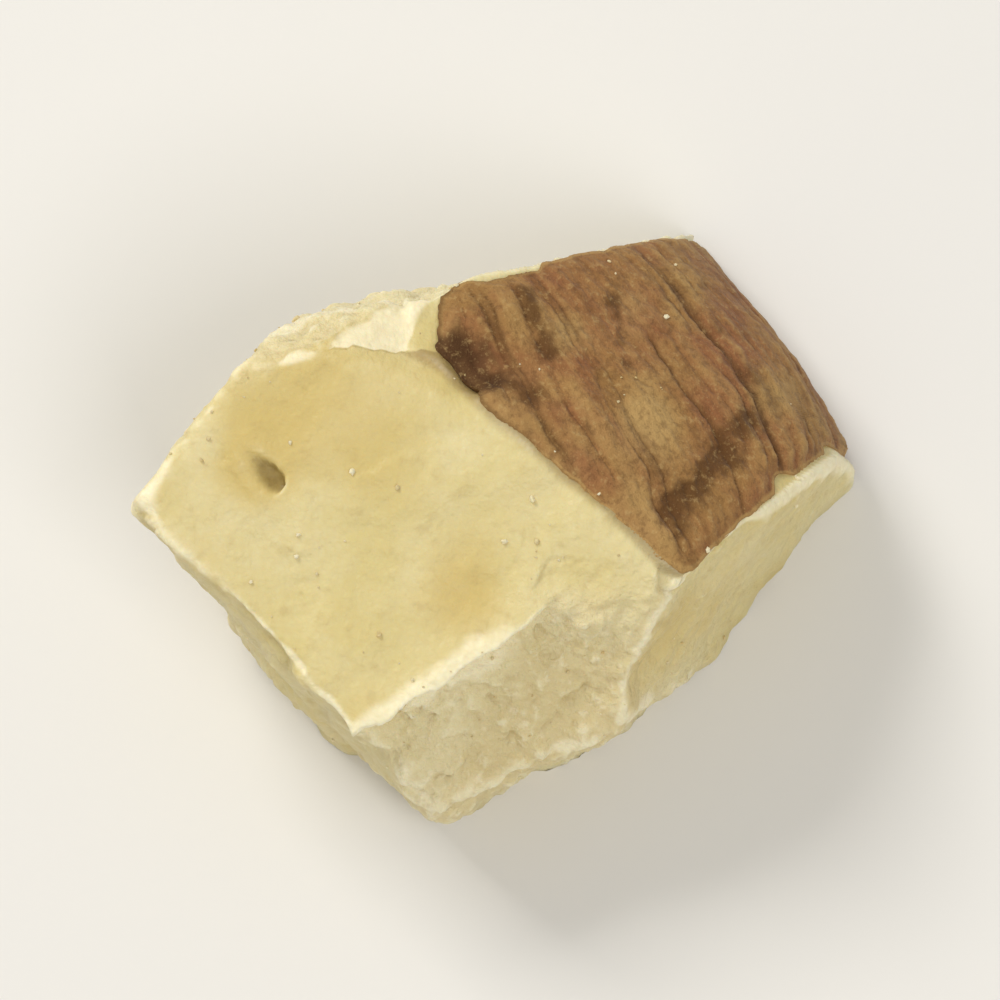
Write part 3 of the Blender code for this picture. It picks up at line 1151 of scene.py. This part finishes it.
    def ribs(self, points: Array, around: Array) -> Array:
        """The rounded ribs, which run from end to end of the kernel with sharper grooves between them.

        They are broad and narrow ones, each the root of |cos| of the way round, which wanders a little.

        Args:
            points: places on the bare form.
            around: how far round the kernel they lie, in millimetres.

        Returns:
            shares from about 0 in a groove to 1 on a crest.
        """
        wander = self.rib_wander.at(points)
        strength = np.clip(self.rib_strength.at(points), *self.rib_strengths)
        narrow_around = around + self.narrow_wander * wander
        broad_turn = math.pi * (around + wander) / self.rib_spacing_mm
        narrow_turn = math.pi * narrow_around / self.rib_spacing_mm * self.narrow_ribs
        broad, narrow = (np.sqrt(np.abs(np.cos(turn))) for turn in (broad_turn, narrow_turn))
        ribbed = self.rib_broad * broad + self.rib_narrow * narrow
        return strength * ribbed + (1.0 - strength) * self.rib_level

    def furrowed(self, points: Array) -> Array:
        """The share of the dark furrows at each point, by how near it is to each one's line.

        Args:
            points: places on the bare form.

        Returns:
            the strongest furrow's share, made uneven by swells.
        """
        depth = np.zeros(len(points))
        bent = points[:, :2] + np.stack([bend.at(points) for bend in self.furrow_bends], axis=1)
        for streak in self.streaks:
            start, run = np.array(streak.from_mm), np.subtract(streak.to_mm, streak.from_mm)
            share = np.clip((bent - start) @ run / (run @ run), 0.0, 1.0)
            away = np.linalg.norm(bent - start - share[:, None] * run, axis=1)
            depth = np.maximum(depth, streak.strength * near(away, streak.half_width_mm))
        return depth * np.clip(self.furrow_strength.at(points), *self.furrow_strengths)

    def build(self) -> Object:
        """Makes the skin: rings out from its centre to the torn edge, down over it, and back underneath.

        The inner rings follow the edge's running mean, so that only the last few take on its every tear.

        Returns:
            the skin.
        """
        form = self.form
        turns = np.arange(self.columns) * (math.tau / self.columns)
        ends = self.ends(turns)
        shifts = range(-self.outline_window, self.outline_window + 1)
        mean_ends = np.mean([np.roll(ends, shift) for shift in shifts], axis=0)
        out, back = np.linspace(0.0, 1.0, self.outer_rings + 1), np.linspace(1.0, 0.0, self.inner_rings + 1)
        share = np.concatenate([out[1:], back[:-1]])
        angles = share[:, None] * mean_ends + share[:, None] ** self.outline_power * (ends - mean_ends)
        rays = self.around(angles, np.tile(turns, (len(share), 1))).reshape(-1, 3)
        centre = unit(*self.centre_deg)[None, :]
        directions = np.concatenate([centre, rays, centre])
        is_outer = np.repeat(np.arange(len(share)) < self.outer_rings, self.columns)
        outside = np.concatenate([[True], is_outer, [False]])

        bare = form.bare(directions)
        points = bare.points
        from_edge = np.repeat(1.0 - share, self.columns) * np.tile(ends, len(share))
        from_edge_mm = np.concatenate([[1.0], from_edge, [1.0]]) * bare.reach
        along, around = form.kernel.along_and_around(points)
        crest, furrow = self.ribs(points, around), self.furrowed(points)
        on_fibres = np.stack([along, around, np.zeros_like(along)], axis=1)
        on_fibres /= (self.fibre_long_mm, self.fibre_wide_mm, 1.0)
        relief = self.rib_height_mm * (crest - self.rib_mean) - self.furrow_depth_mm * furrow
        relief += self.fibres.at(on_fibres) + self.scurf.at(points) + self.wrinkles.at(points)

        inwards = smooth_step(from_edge_mm, 0.0, self.edge_thin_mm)
        rounded = np.sqrt(smooth_step(from_edge_mm, 0.0, self.edge_round_mm))
        outer = self.least_mm + ((self.thickness_mm - self.least_mm) * rounded + relief) * inwards
        lowest = self.least_mm - self.flesh.under_coat_mm * self.least_over_flesh * inwards
        height = form.waves(points) - form.bitten(points)
        height -= self.notch_followed * self.flesh.notch.depth_mm * self.flesh.notched(points)
        height += np.where(outside, np.maximum(outer, lowest), -self.sunk_mm)
        points = points + directions * height[:, None]
        points[:, 2] = np.maximum(points[:, 2], 0.0)

        faces = list(capped_rings(len(share), self.columns))
        marks = {
            "crest": np.clip(crest, 0.0, 1.0),
            "furrow": furrow,
            "edge": near(from_edge_mm, self.edge_dark_mm) * self.edge_darkness(points),
            "worn_and_highlight": self.worn_and_highlight(points),
            "burnt_and_shadow": np.clip(patched(points, self.notch_shadow) + self.charring.at(points), 0.0, 1.0),
            "proud": standing_out(points, faces, self.proud_passes),
            "along_mm": along,
            "around_mm": around,
        }
        piece = new_piece("almond_seed_coat", points + np.array(form.foot_mm), faces, marks)
        return adopt(piece, DrySeedCoat().material())

    def edge_darkness(self, points: Array) -> Array:
        """How dark the torn edge is: darkest by the notch, where it paints the notch's shadow, fading over a
        few millimetres, and uneven.
        """
        away = np.linalg.norm(points - self.form.place_of(*self.flesh.notch[:2]), axis=1)
        return np.clip(near(away, self.notch_shadow_reach_mm) + self.edge_dark.at(points), 0.0, 1.0)

    def worn_and_highlight(self, points: Array) -> Array:
        """How far the skin is thin and tan from rubbing: most along the top cut, and in soft patches that are
        partly painted highlights.

        Args:
            points: places on the skin.

        Returns:
            shares from 0 to 1.
        """
        top = self.form.cuts[0]
        below_top = top.distance_mm - (points - self.form.middle()) @ top.outward()
        on_top = self.rubbed_top * (1.0 - smooth_step(below_top, 0.0, self.rubbed_top_mm))
        return np.clip(on_top + self.rubbing.at(points) + patched(points, self.rubbed_and_highlight), 0.0, 1.0)


@dataclass(frozen=True)
class Meal:
    """Crumbs of almond meal from the dicing, which cling to the piece, each sunk a little into it."""

    on_flesh: int = 190
    on_coat: int = 16
    rings: int = 4
    columns: int = 6
    radius_mm: Span = (0.010, 0.040)
    sunk: float = 0.35
    small_ones_power: float = 3.0
    dent: float = 0.28
    stretch: Span = (0.6, 1.35)
    clumps: Swell = Swell(139, 1.1, 2)
    clump_span: Span = (-0.3, 0.8)
    between_clumps: float = 0.08
    on_sides: float = 0.25
    seed: int = 19
    lowest_mm: float = 0.15
    floor_gap_mm: float = 0.01

    def unit_lump(self) -> Array:
        """A small ball: a pole, rings of latitude, and a pole.

        Returns:
            its points, 1 from its middle.
        """
        heights = np.cos(np.linspace(0.0, math.pi, self.rings + 2))[1:-1]
        ball = ring_points(np.sqrt(1.0 - heights**2), heights, self.columns)
        return np.concatenate([[[0.0, 0.0, 1.0]], ball, [[0.0, 0.0, -1.0]]])

    def spots(self, piece: Object, count: int, rng: np.random.Generator) -> tuple[Array, Array]:
        """Draws points of a piece that look upwards or sideways, more of them in some places than in others.

        Args:
            piece: the piece that the crumbs lie on.
            count: how many.
            rng: the draws.

        Returns:
            the points in millimetres, and their outward directions.
        """
        mesh = piece.data
        places, outward = np.zeros(len(mesh.vertices) * 3), np.zeros(len(mesh.vertices) * 3)
        mesh.vertices.foreach_get("co", places)
        mesh.vertex_normals.foreach_get("vector", outward)
        places, outward = places.reshape(-1, 3) / MM, outward.reshape(-1, 3)
        clumped = self.between_clumps + smooth_step(self.clumps.at(places), *self.clump_span)
        upwards = np.clip(outward[:, 2] + self.on_sides, 0.0, None)
        weight = upwards * clumped * (places[:, 2] > self.lowest_mm)
        chosen = rng.choice(len(places), count, replace=False, p=weight / weight.sum())
        return places[chosen], outward[chosen]

    def build(self, flesh: Object, coat: Object) -> Object:
        """Makes all the crumbs as one mesh: the small ball, stretched, turned and dented for each.

        Args:
            flesh: the flesh, which most of them lie on.
            coat: the seed coat.

        Returns:
            the crumbs.
        """
        rng = np.random.default_rng(self.seed)
        spots = self.spots(flesh, self.on_flesh, rng), self.spots(coat, self.on_coat, rng)
        places, outward = (np.concatenate(both) for both in zip(*spots))
        count = len(places)
        smallest, largest = self.radius_mm
        radii = smallest + (largest - smallest) * rng.random(count) ** self.small_ones_power
        ball = self.unit_lump()
        dents = 1.0 + self.dent * rng.uniform(-1.0, 1.0, (count, len(ball), 1))
        stretch = rng.uniform(*self.stretch, (count, 1, 3))
        turned, _ = np.linalg.qr(rng.normal(size=(count, 3, 3)))
        turned *= np.sign(np.linalg.det(turned))[:, None, None]
        lumps = np.einsum("nij,npj->npi", turned, ball * dents * stretch) * radii[:, None, None]
        lumps += (places + outward * (radii * (1.0 - 2.0 * self.sunk))[:, None])[:, None, :]
        lumps[..., 2] = np.maximum(lumps[..., 2], self.floor_gap_mm)
        shift = np.arange(count)[:, None, None] * len(ball)
        blocks = capped_rings(self.rings, self.columns)
        faces = [(block + shift).reshape(-1, block.shape[1]) for block in blocks]
        tone = np.repeat(rng.random(count), len(ball))
        piece = new_piece("almond_meal_crumbs", lumps.reshape(-1, 3), faces, {"tone": tone}, smooth=False)
        return adopt(piece, AlmondMeal().material())


# Finishes


def to_linear(code: str) -> tuple[float, float, float, float]:
    """A colour as light: x / 12.92 for a part x up to 0.04045, and ((x + 0.055) / 1.055)^2.4 above it.

    Args:
        code: the colour as sRGB hex.

    Returns:
        red, green, blue, and an alpha of 1.
    """
    parts = (int(code[k : k + 2], 16) / 255.0 for k in (1, 3, 5))
    red, green, blue = (x / 12.92 if x <= 0.04045 else ((x + 0.055) / 1.055) ** 2.4 for x in parts)
    return red, green, blue, 1.0


def set_inputs(node: Node, inputs: dict) -> None:
    """Sets a node's input sockets.

    Args:
        node: the node.
        inputs: a value or another node's output for each input socket, by name or number.
    """
    for key, value in inputs.items():
        if isinstance(value, NodeSocket):
            node.id_data.links.new(value, node.inputs[key])
        else:
            node.inputs[key].default_value = value


# Blender's names for the kinds of node that are used more than once.
NOISE, CELLS = "ShaderNodeTexNoise", "ShaderNodeTexVoronoi"
MARK, RAMP = "ShaderNodeAttribute", "ShaderNodeMapRange"
# The colour sockets of Blender's Mix node, which gives all its kinds the same names.
MIX_A, MIX_B, MIX_OUT = 6, 7, 2


class Fade(Enum):
    """How a layer's share rises between its two ends."""

    EVEN = "LINEAR"
    SOFT = "SMOOTHSTEP"


class Layer(NamedTuple):
    """A colour over those below it: none where its mark is at the low end, the most at the high end."""

    mark: NodeSocket
    low: float
    high: float
    colour: str
    most: float
    fade: Fade = Fade.SOFT


class Bump(NamedTuple):
    """Relief too fine for the mesh: what its height follows, its strength and its depth."""

    height: NodeSocket
    strength: float
    depth_mm: float


class Grain(NamedTuple):
    """The size, the layers and the roughness of a seeded pattern."""

    size_mm: float
    detail: float
    roughness: float = 0.5

    def at(self, place: NodeSocket) -> dict:
        """The inputs of a pattern of this grain, at this place."""
        size = {"Vector": place, "Scale": 1.0 / self.size_mm}
        return {**size, "Detail": self.detail, "Roughness": self.roughness}


class Finish:
    """A material in the making: its node tree and its one shader."""

    def __init__(self, name: str) -> None:
        """Makes the material.

        Args:
            name: what it is called.
        """
        self.material = bpy.data.materials.new(name)
        self.material.use_nodes = True
        self.nodes = self.material.node_tree.nodes
        self.shader = self.nodes["Principled BSDF"]

    def add_node(self, kind: str, output: str | int, inputs: dict, **settings: object) -> NodeSocket:
        """Adds a node.

        Args:
            kind: Blender's name for the kind of node.
            output: the socket of it that is wanted.
            inputs: a value or another node's output for each input socket, by name or number.
            settings: the node's own settings.

        Returns:
            that socket.
        """
        node = self.nodes.new(kind)
        for name, value in settings.items():
            setattr(node, name, value)
        set_inputs(node, inputs)
        return node.outputs[output]

    def place(self) -> NodeSocket:
        """The piece's own coordinates, in millimetres, so that a pattern's scale is one over its size."""
        own = self.add_node("ShaderNodeTexCoord", "Object", {})
        return self.add_node("ShaderNodeMapping", "Vector", {"Vector": own, "Scale": (1.0 / MM,) * 3})

    def dress(self, base: str, layers: list[Layer], bumps: list[Bump], look: dict) -> Material:
        """Gives the shader its layered colour, its fine relief and the rest of its look.

        Args:
            base: the lowest colour.
            layers: the colours over it, the lowest first.
            bumps: the reliefs, each added to those before it.
            look: the shader's other inputs.

        Returns:
            the finished material.
        """
        colour: object = to_linear(base)
        for mark, low, high, code, most, fade in layers:
            ends = {"Value": mark, "From Min": low, "From Max": high, "To Max": most}
            share = self.add_node(RAMP, "Result", ends, interpolation_type=fade.value)
            inputs = {0: share, MIX_A: colour, MIX_B: to_linear(code)}
            colour = self.add_node("ShaderNodeMix", MIX_OUT, inputs, data_type="RGBA")
        normal: dict = {}
        for height, strength, depth_mm in bumps:
            inputs = {"Height": height, "Strength": strength, "Distance": depth_mm * MM, **normal}
            normal = {"Normal": self.add_node("ShaderNodeBump", "Normal", inputs)}
        set_inputs(self.shader, {"Base Color": colour, **normal, **look})
        return self.material


@dataclass(frozen=True)
class RoastedFlesh:
    """Almond flesh, lightly roasted: dense, waxy and pale cream, with a fine cellular grain.

    The eye gets a soft glow from light that passes a little way in, a faint oily sheen, golden patches from
    the oven with some painted shade among them, and paler rims and torn faces: bruising and crushing from the
    knife, with highlights painted along the edges and the ridge, and light painted onto torn faces in shade.
    """

    cream: str = "#DFD2A0"
    deep_cream: str = "#D6C68A"
    # Toasting, some of it painted shade, and the cells.
    golden: str = "#CDB46C"
    # Bruising and crushed flesh, and painted highlights on the rims, the ridge, proud relief and torn faces.
    pale: str = "#F9F0CF"
    # Flecks, and painted shade in the hollows of the relief.
    tan: str = "#B69D66"
    # The stain along the seed coat's edge, and the painted shadow in the notch.
    stained: str = "#7A552B"
    # Painted shadow in the notch, darkest at its middle.
    burnt_and_shadow: str = "#43240A"
    # Painted shade in the pit and the pores.
    dark: str = "#7C642A"
    inner: str = "#E2D4A4"
    mottle: Grain = Grain(0.9, 4.0)
    fleck: Grain = Grain(0.21, 3.0)
    grain: Grain = Grain(0.04, 2.0)
    crumb: Grain = Grain(0.14, 4.0, 0.65)
    cell_mm: float = 0.075  # the real cells, about 0.04 mm across, drawn this coarse to show
    roughness: Span = (0.42, 0.6)
    glow_mm: Spot = (0.32, 0.22, 0.11)

    def material(self) -> Material:
        """Makes the finish: cream with deeper mottling, and each mark of the mesh over it in its own colour.

        Returns:
            the material.
        """
        finish = Finish("lightly roasted almond flesh")
        place = finish.place()
        grains = (self.mottle, self.fleck, self.grain, self.crumb)
        mottle, fleck, grain, crumb = (finish.add_node(NOISE, "Fac", grain.at(place)) for grain in grains)
        cell = finish.add_node(CELLS, "Distance", {"Vector": place, "Scale": 1.0 / self.cell_mm})
        names = ("split", "toast_and_shade", "rim", "proud", "stain", "hollow", "torn")
        split, toast_and_shade, rim, proud, stain, hollow, broken = (
            finish.add_node(MARK, "Fac", {}, attribute_name=name) for name in names
        )
        torn = finish.add_node(RAMP, "Result", {"Value": broken, "From Min": 0.3, "From Max": 0.9})
        crushed = finish.add_node("ShaderNodeMath", "Value", {0: crumb, 1: torn}, operation="MULTIPLY")
        layers = [
            Layer(mottle, 0.35, 0.65, self.deep_cream, 1.0, Fade.EVEN),
            Layer(split, 0.8, 1.0, self.inner, 0.6),
            # Toasting, with some patches of painted shade.
            Layer(toast_and_shade, 0.25, 0.95, self.golden, 0.8),
            # Torn and crushed flesh, painted paler also as painted light, to lift the torn faces that lie in
            # shade.
            Layer(torn, 0.3, 1.0, self.pale, 0.38),
            Layer(crushed, 0.54, 0.68, self.pale, 0.5),
            # Painted highlight along the edges and the ridge, with bruising and scraping.
            Layer(rim, 0.35, 0.95, self.pale, 0.8),
            # Painted highlight on proud relief, and painted shade in its hollows.
            Layer(proud, 0.006, 0.035, self.pale, 0.65),
            Layer(proud, -0.008, -0.05, self.tan, 0.6),
            # The stain along the seed coat's edge, and painted shadow in the notch.
            Layer(stain, 0.1, 1.0, self.stained, 0.85),
            Layer(stain, 0.75, 1.0, self.burnt_and_shadow, 0.9),
            # Painted shade in the pit and the pores.
            Layer(hollow, 0.15, 0.9, self.dark, 0.9),
            Layer(cell, 0.1, 0.75, self.golden, 0.16, Fade.EVEN),
            Layer(fleck, 0.58, 0.75, self.tan, 0.3, Fade.EVEN),
        ]
        bumps = [
            Bump(cell, 0.55, 0.010),
            Bump(grain, 0.6, 0.012),
            Bump(fleck, 0.5, 0.05),
            Bump(crushed, 0.7, 0.10),
        ]
        waxy, dull = self.roughness
        sheen = {"Value": fleck, "From Min": 0.3, "From Max": 0.7, "To Min": waxy, "To Max": dull}
        look = {
            "Roughness": finish.add_node(RAMP, "Result", sheen),
            "Specular IOR Level": 0.4,
            "IOR": 1.46,
            "Subsurface Weight": 0.22,
            "Subsurface Radius": self.glow_mm,
            "Subsurface Scale": MM,
        }
        return finish.dress(self.cream, layers, bumps, look)


@dataclass(frozen=True)
class DrySeedCoat:
    """Almond seed coat, roasted dry: a papery cinnamon skin with fibres along the kernel and a dusty scurf.

    The eye gets dark furrows between lighter ribs, painted shade in the grooves and painted highlights on the
    crests and on patches of wear, a matt surface, and a dark torn edge with a painted shadow at the notch.
    """

    brown: str = "#9B733F"
    red_brown: str = "#915F37"
    # Dark fibres, furrows, scurf and edges, and painted shade in rib grooves and hollows.
    dark: str = "#573509"
    # Charring, and the painted shadow at the notch.
    char_and_shadow: str = "#472906"
    # Light fibres, and painted highlights on crests and proud relief.
    light: str = "#B38E55"
    # Wear, and painted highlights.
    rubbed_and_highlight: str = "#BC9B61"
    dust: str = "#BFA06A"
    mottle: Grain = Grain(0.7, 4.0)
    scurf: Grain = Grain(0.10, 4.0, 0.7)
    fibre: Grain = Grain(1.0, 3.0)
    fibre_long_mm: float = 0.8
    fibre_wide_mm: float = 0.13
    meal_mm: float = 0.045  # real almond dust is finer, and is drawn this coarse to show
    roughness: Span = (0.68, 0.88)

    def material(self) -> Material:
        """Makes the finish: two browns in patches, with fibres, ribs painted light and shade, wear with
        painted highlights, charring with the notch's painted shadow, and dust over them in turn.

        Returns:
            the material.
        """
        finish = Finish("dry roasted seed coat")
        place = finish.place()
        names = ("along_mm", "around_mm", "crest", "furrow", "edge", "worn_and_highlight", "proud", "burnt_and_shadow")
        along, around, crest, furrow, edge, worn_and_highlight, proud, burnt_and_shadow = (
            finish.add_node(MARK, "Fac", {}, attribute_name=name) for name in names
        )
        on_skin = finish.add_node("ShaderNodeCombineXYZ", "Vector", {"X": along, "Y": around})
        per_fibre = (1.0 / self.fibre_long_mm, 1.0 / self.fibre_wide_mm, 1.0)
        drawn_out = finish.add_node("ShaderNodeMapping", "Vector", {"Vector": on_skin, "Scale": per_fibre})
        fibre = finish.add_node(NOISE, "Fac", self.fibre.at(drawn_out))
        mottle = finish.add_node(NOISE, "Fac", self.mottle.at(place))
        scurf = finish.add_node(NOISE, "Fac", self.scurf.at(place))
        meal = finish.add_node(CELLS, "Distance", {"Vector": place, "Scale": 1.0 / self.meal_mm})
        layers = [
            Layer(mottle, 0.38, 0.62, self.red_brown, 1.0, Fade.EVEN),
            Layer(fibre, 0.52, 0.7, self.light, 0.3),
            Layer(fibre, 0.48, 0.3, self.dark, 0.3),
            # Wear, and painted highlights in the rubbed patches.
            Layer(worn_and_highlight, 0.15, 0.85, self.rubbed_and_highlight, 0.75),
            # Painted shade in the rib grooves and painted highlight on the crests.
            Layer(crest, 0.70, 0.35, self.dark, 0.6),
            Layer(crest, 0.78, 0.98, self.light, 0.40),
            # Painted highlight on proud relief, and painted shade in its hollows.
            Layer(proud, 0.004, 0.022, self.light, 0.75),
            Layer(proud, -0.004, -0.026, self.dark, 0.8),
            Layer(furrow, 0.1, 0.9, self.dark, 0.85),
            # The dark torn edge, with painted shadow by the notch.
            Layer(edge, 0.3, 1.0, self.dark, 0.6),
            # Charring, and the painted shadow at the notch.
            Layer(burnt_and_shadow, 0.20, 0.95, self.char_and_shadow, 0.80),
            Layer(scurf, 0.50, 0.36, self.dark, 0.35),
            Layer(scurf, 0.54, 0.70, self.dust, 0.42),
            Layer(meal, 0.30, 0.05, self.dust, 0.22),
        ]
        bumps = [Bump(fibre, 0.8, 0.02), Bump(scurf, 0.8, 0.05)]
        papery, dusty = self.roughness
        matt = {"Value": scurf, "From Min": 0.3, "From Max": 0.7, "To Min": papery, "To Max": dusty}
        look = {
            "Roughness": finish.add_node(RAMP, "Result", matt),
            "Specular IOR Level": 0.35,
            "Sheen Weight": 0.05,
            "Sheen Roughness": 0.5,
        }
        return finish.dress(self.brown, layers, bumps, look)


@dataclass(frozen=True)
class AlmondMeal:
    """Crumbs of cut almond: the same flesh in small broken bits, dry, dull, and pale to golden."""

    pale: str = "#EFE2BA"
    golden: str = "#CDB075"
    glow_mm: Spot = (0.3, 0.2, 0.1)

    def material(self) -> Material:
        """Makes the finish.

        Returns:
            the material.
        """
        finish = Finish("dry almond meal")
        tone = finish.add_node(MARK, "Fac", {}, attribute_name="tone")
        glow = {"Subsurface Weight": 0.25, "Subsurface Radius": self.glow_mm, "Subsurface Scale": MM}
        layers = [Layer(tone, 0.0, 1.0, self.golden, 1.0, Fade.EVEN)]
        return finish.dress(self.pale, layers, [], {"Roughness": 0.75, **glow})


@dataclass(frozen=True)
class MattPaper:
    """Studio background paper: uncoated, matt and nearly white, with a barely visible tooth."""

    white: str = "#E4E2DE"
    tooth: Grain = Grain(0.35, 2.0)

    def material(self) -> Material:
        """Makes the finish.

        Returns:
            the material.
        """
        finish = Finish("matt background paper")
        tooth = finish.add_node(NOISE, "Fac", self.tooth.at(finish.place()))
        return finish.dress(self.white, [], [Bump(tooth, 0.15, 0.02)], {"Roughness": 0.9})


# The studio


class Lamp(NamedTuple):
    """A square soft light: where it hangs, how wide it is, its power and its colour."""

    name: str
    azimuth_deg: float
    elevation_deg: float
    distance_mm: float
    wide_mm: float
    watts: float
    colour: str


@dataclass(frozen=True)
class Studio:
    """A pale paper floor, soft lights, and a long lens that looks down as the photograph does."""

    camera_deg: Span = (-90.0, 75.0)
    lens_mm: float = 400.0
    sensor_mm: float = 36.0
    field_mm: float = 10.9
    clip_mm: Span = (1.0, 5000.0)
    floor_flat_mm: float = 160.0
    floor_rise_mm: float = 140.0
    floor_rings: int = 60
    floor_columns: int = 96
    sky_white: str = "#FBFAF7"
    daylight: float = 0.45
    lamps: tuple[Lamp, ...] = (
        Lamp("key", 135.0, 44.0, 150.0, 55.0, 0.135, "#FFFDF8"),
        Lamp("fill", -62.0, 56.0, 150.0, 80.0, 0.088, "#FFFDF9"),
    )

    def floor(self) -> Object:
        """Makes a round sheet, flat in the middle, whose rim rises as a quarter of a sine wave.

        Returns:
            the floor.
        """
        shares = np.linspace(0.0, 1.0, self.floor_rings + 1)[1:]
        radii = (self.floor_flat_mm + self.floor_rise_mm) * shares**1.5
        rise = np.clip((radii - self.floor_flat_mm) / self.floor_rise_mm, 0.0, 1.0)
        heights = self.floor_rise_mm * (1.0 - np.cos(rise * math.pi / 2))
        points = np.concatenate([[[0.0, 0.0, 0.0]], ring_points(radii, heights, self.floor_columns)])
        squares, fans = capped_rings(self.floor_rings, self.floor_columns)
        floor = new_piece("paper_floor", points, [squares, fans[: self.floor_columns]], {})
        floor.data.materials.append(MattPaper().material())
        return floor

    def aim(self, data: ID, azimuth_deg: float, elevation_deg: float, distance_mm: float) -> Object:
        """Hangs a light or a camera so that it faces the middle of the piece's box.

        Args:
            data: the light or the camera.
            azimuth_deg: the way to it from there.
            elevation_deg: how high up that looks.
            distance_mm: how far off it hangs.

        Returns:
            its object, linked to the scene.
        """
        low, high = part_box(CAD_NODE)
        towards = Vector(unit(azimuth_deg, elevation_deg))
        held = bpy.data.objects.new(data.name, data)
        held.location = (Vector(low) + Vector(high)) / 2.0 + towards * distance_mm * MM
        held.rotation_euler = towards.to_track_quat("Z", "Y").to_euler()
        bpy.context.scene.collection.objects.link(held)
        return held

    def light(self, lamp: Lamp) -> None:
        """Hangs one soft light.

        Args:
            lamp: the light.
        """
        data = bpy.data.lights.new(lamp.name, "AREA")
        data.shape = "SQUARE"
        data.size = lamp.wide_mm * MM
        data.energy = lamp.watts
        data.color = to_linear(lamp.colour)[:3]
        self.aim(data, lamp.azimuth_deg, lamp.elevation_deg, lamp.distance_mm)

    def sky(self) -> None:
        """An even white surround that lifts the shadows."""
        world = bpy.data.worlds.new("studio surround")
        world.use_nodes = True
        background = world.node_tree.nodes["Background"]
        set_inputs(background, {"Color": to_linear(self.sky_white), "Strength": self.daylight})
        bpy.context.scene.world = world

    def camera(self) -> None:
        """The camera, due south of the piece, looking down on it, far enough off to take it in."""
        data = bpy.data.cameras.new("camera")
        data.lens = self.lens_mm
        data.sensor_width = self.sensor_mm
        data.clip_start, data.clip_end = (clip * MM for clip in self.clip_mm)
        distance_mm = self.field_mm * self.lens_mm / self.sensor_mm
        bpy.context.scene.camera = self.aim(data, *self.camera_deg, distance_mm)

    def build(self) -> None:
        """Sets up the floor, the lights, the surround and the camera."""
        self.floor()
        for lamp in self.lamps:
            self.light(lamp)
        self.sky()
        self.camera()
        bpy.context.scene.view_settings.view_transform = "Standard"
        LOG.info("studio: %d lamps, camera %.0f degrees up", len(self.lamps), self.camera_deg[1])


def main() -> None:
    """Builds the piece from its flesh outwards, then the studio round it."""
    logging.basicConfig(level=logging.INFO, format="%(name)s %(message)s")
    form = DicedForm()
    flesh = Flesh(form)
    flesh_piece = flesh.build()
    coat_piece = SeedCoat(form, flesh).build()
    Meal().build(flesh_piece, coat_piece)
    Studio().build()


if __name__ == "__main__":
    main()
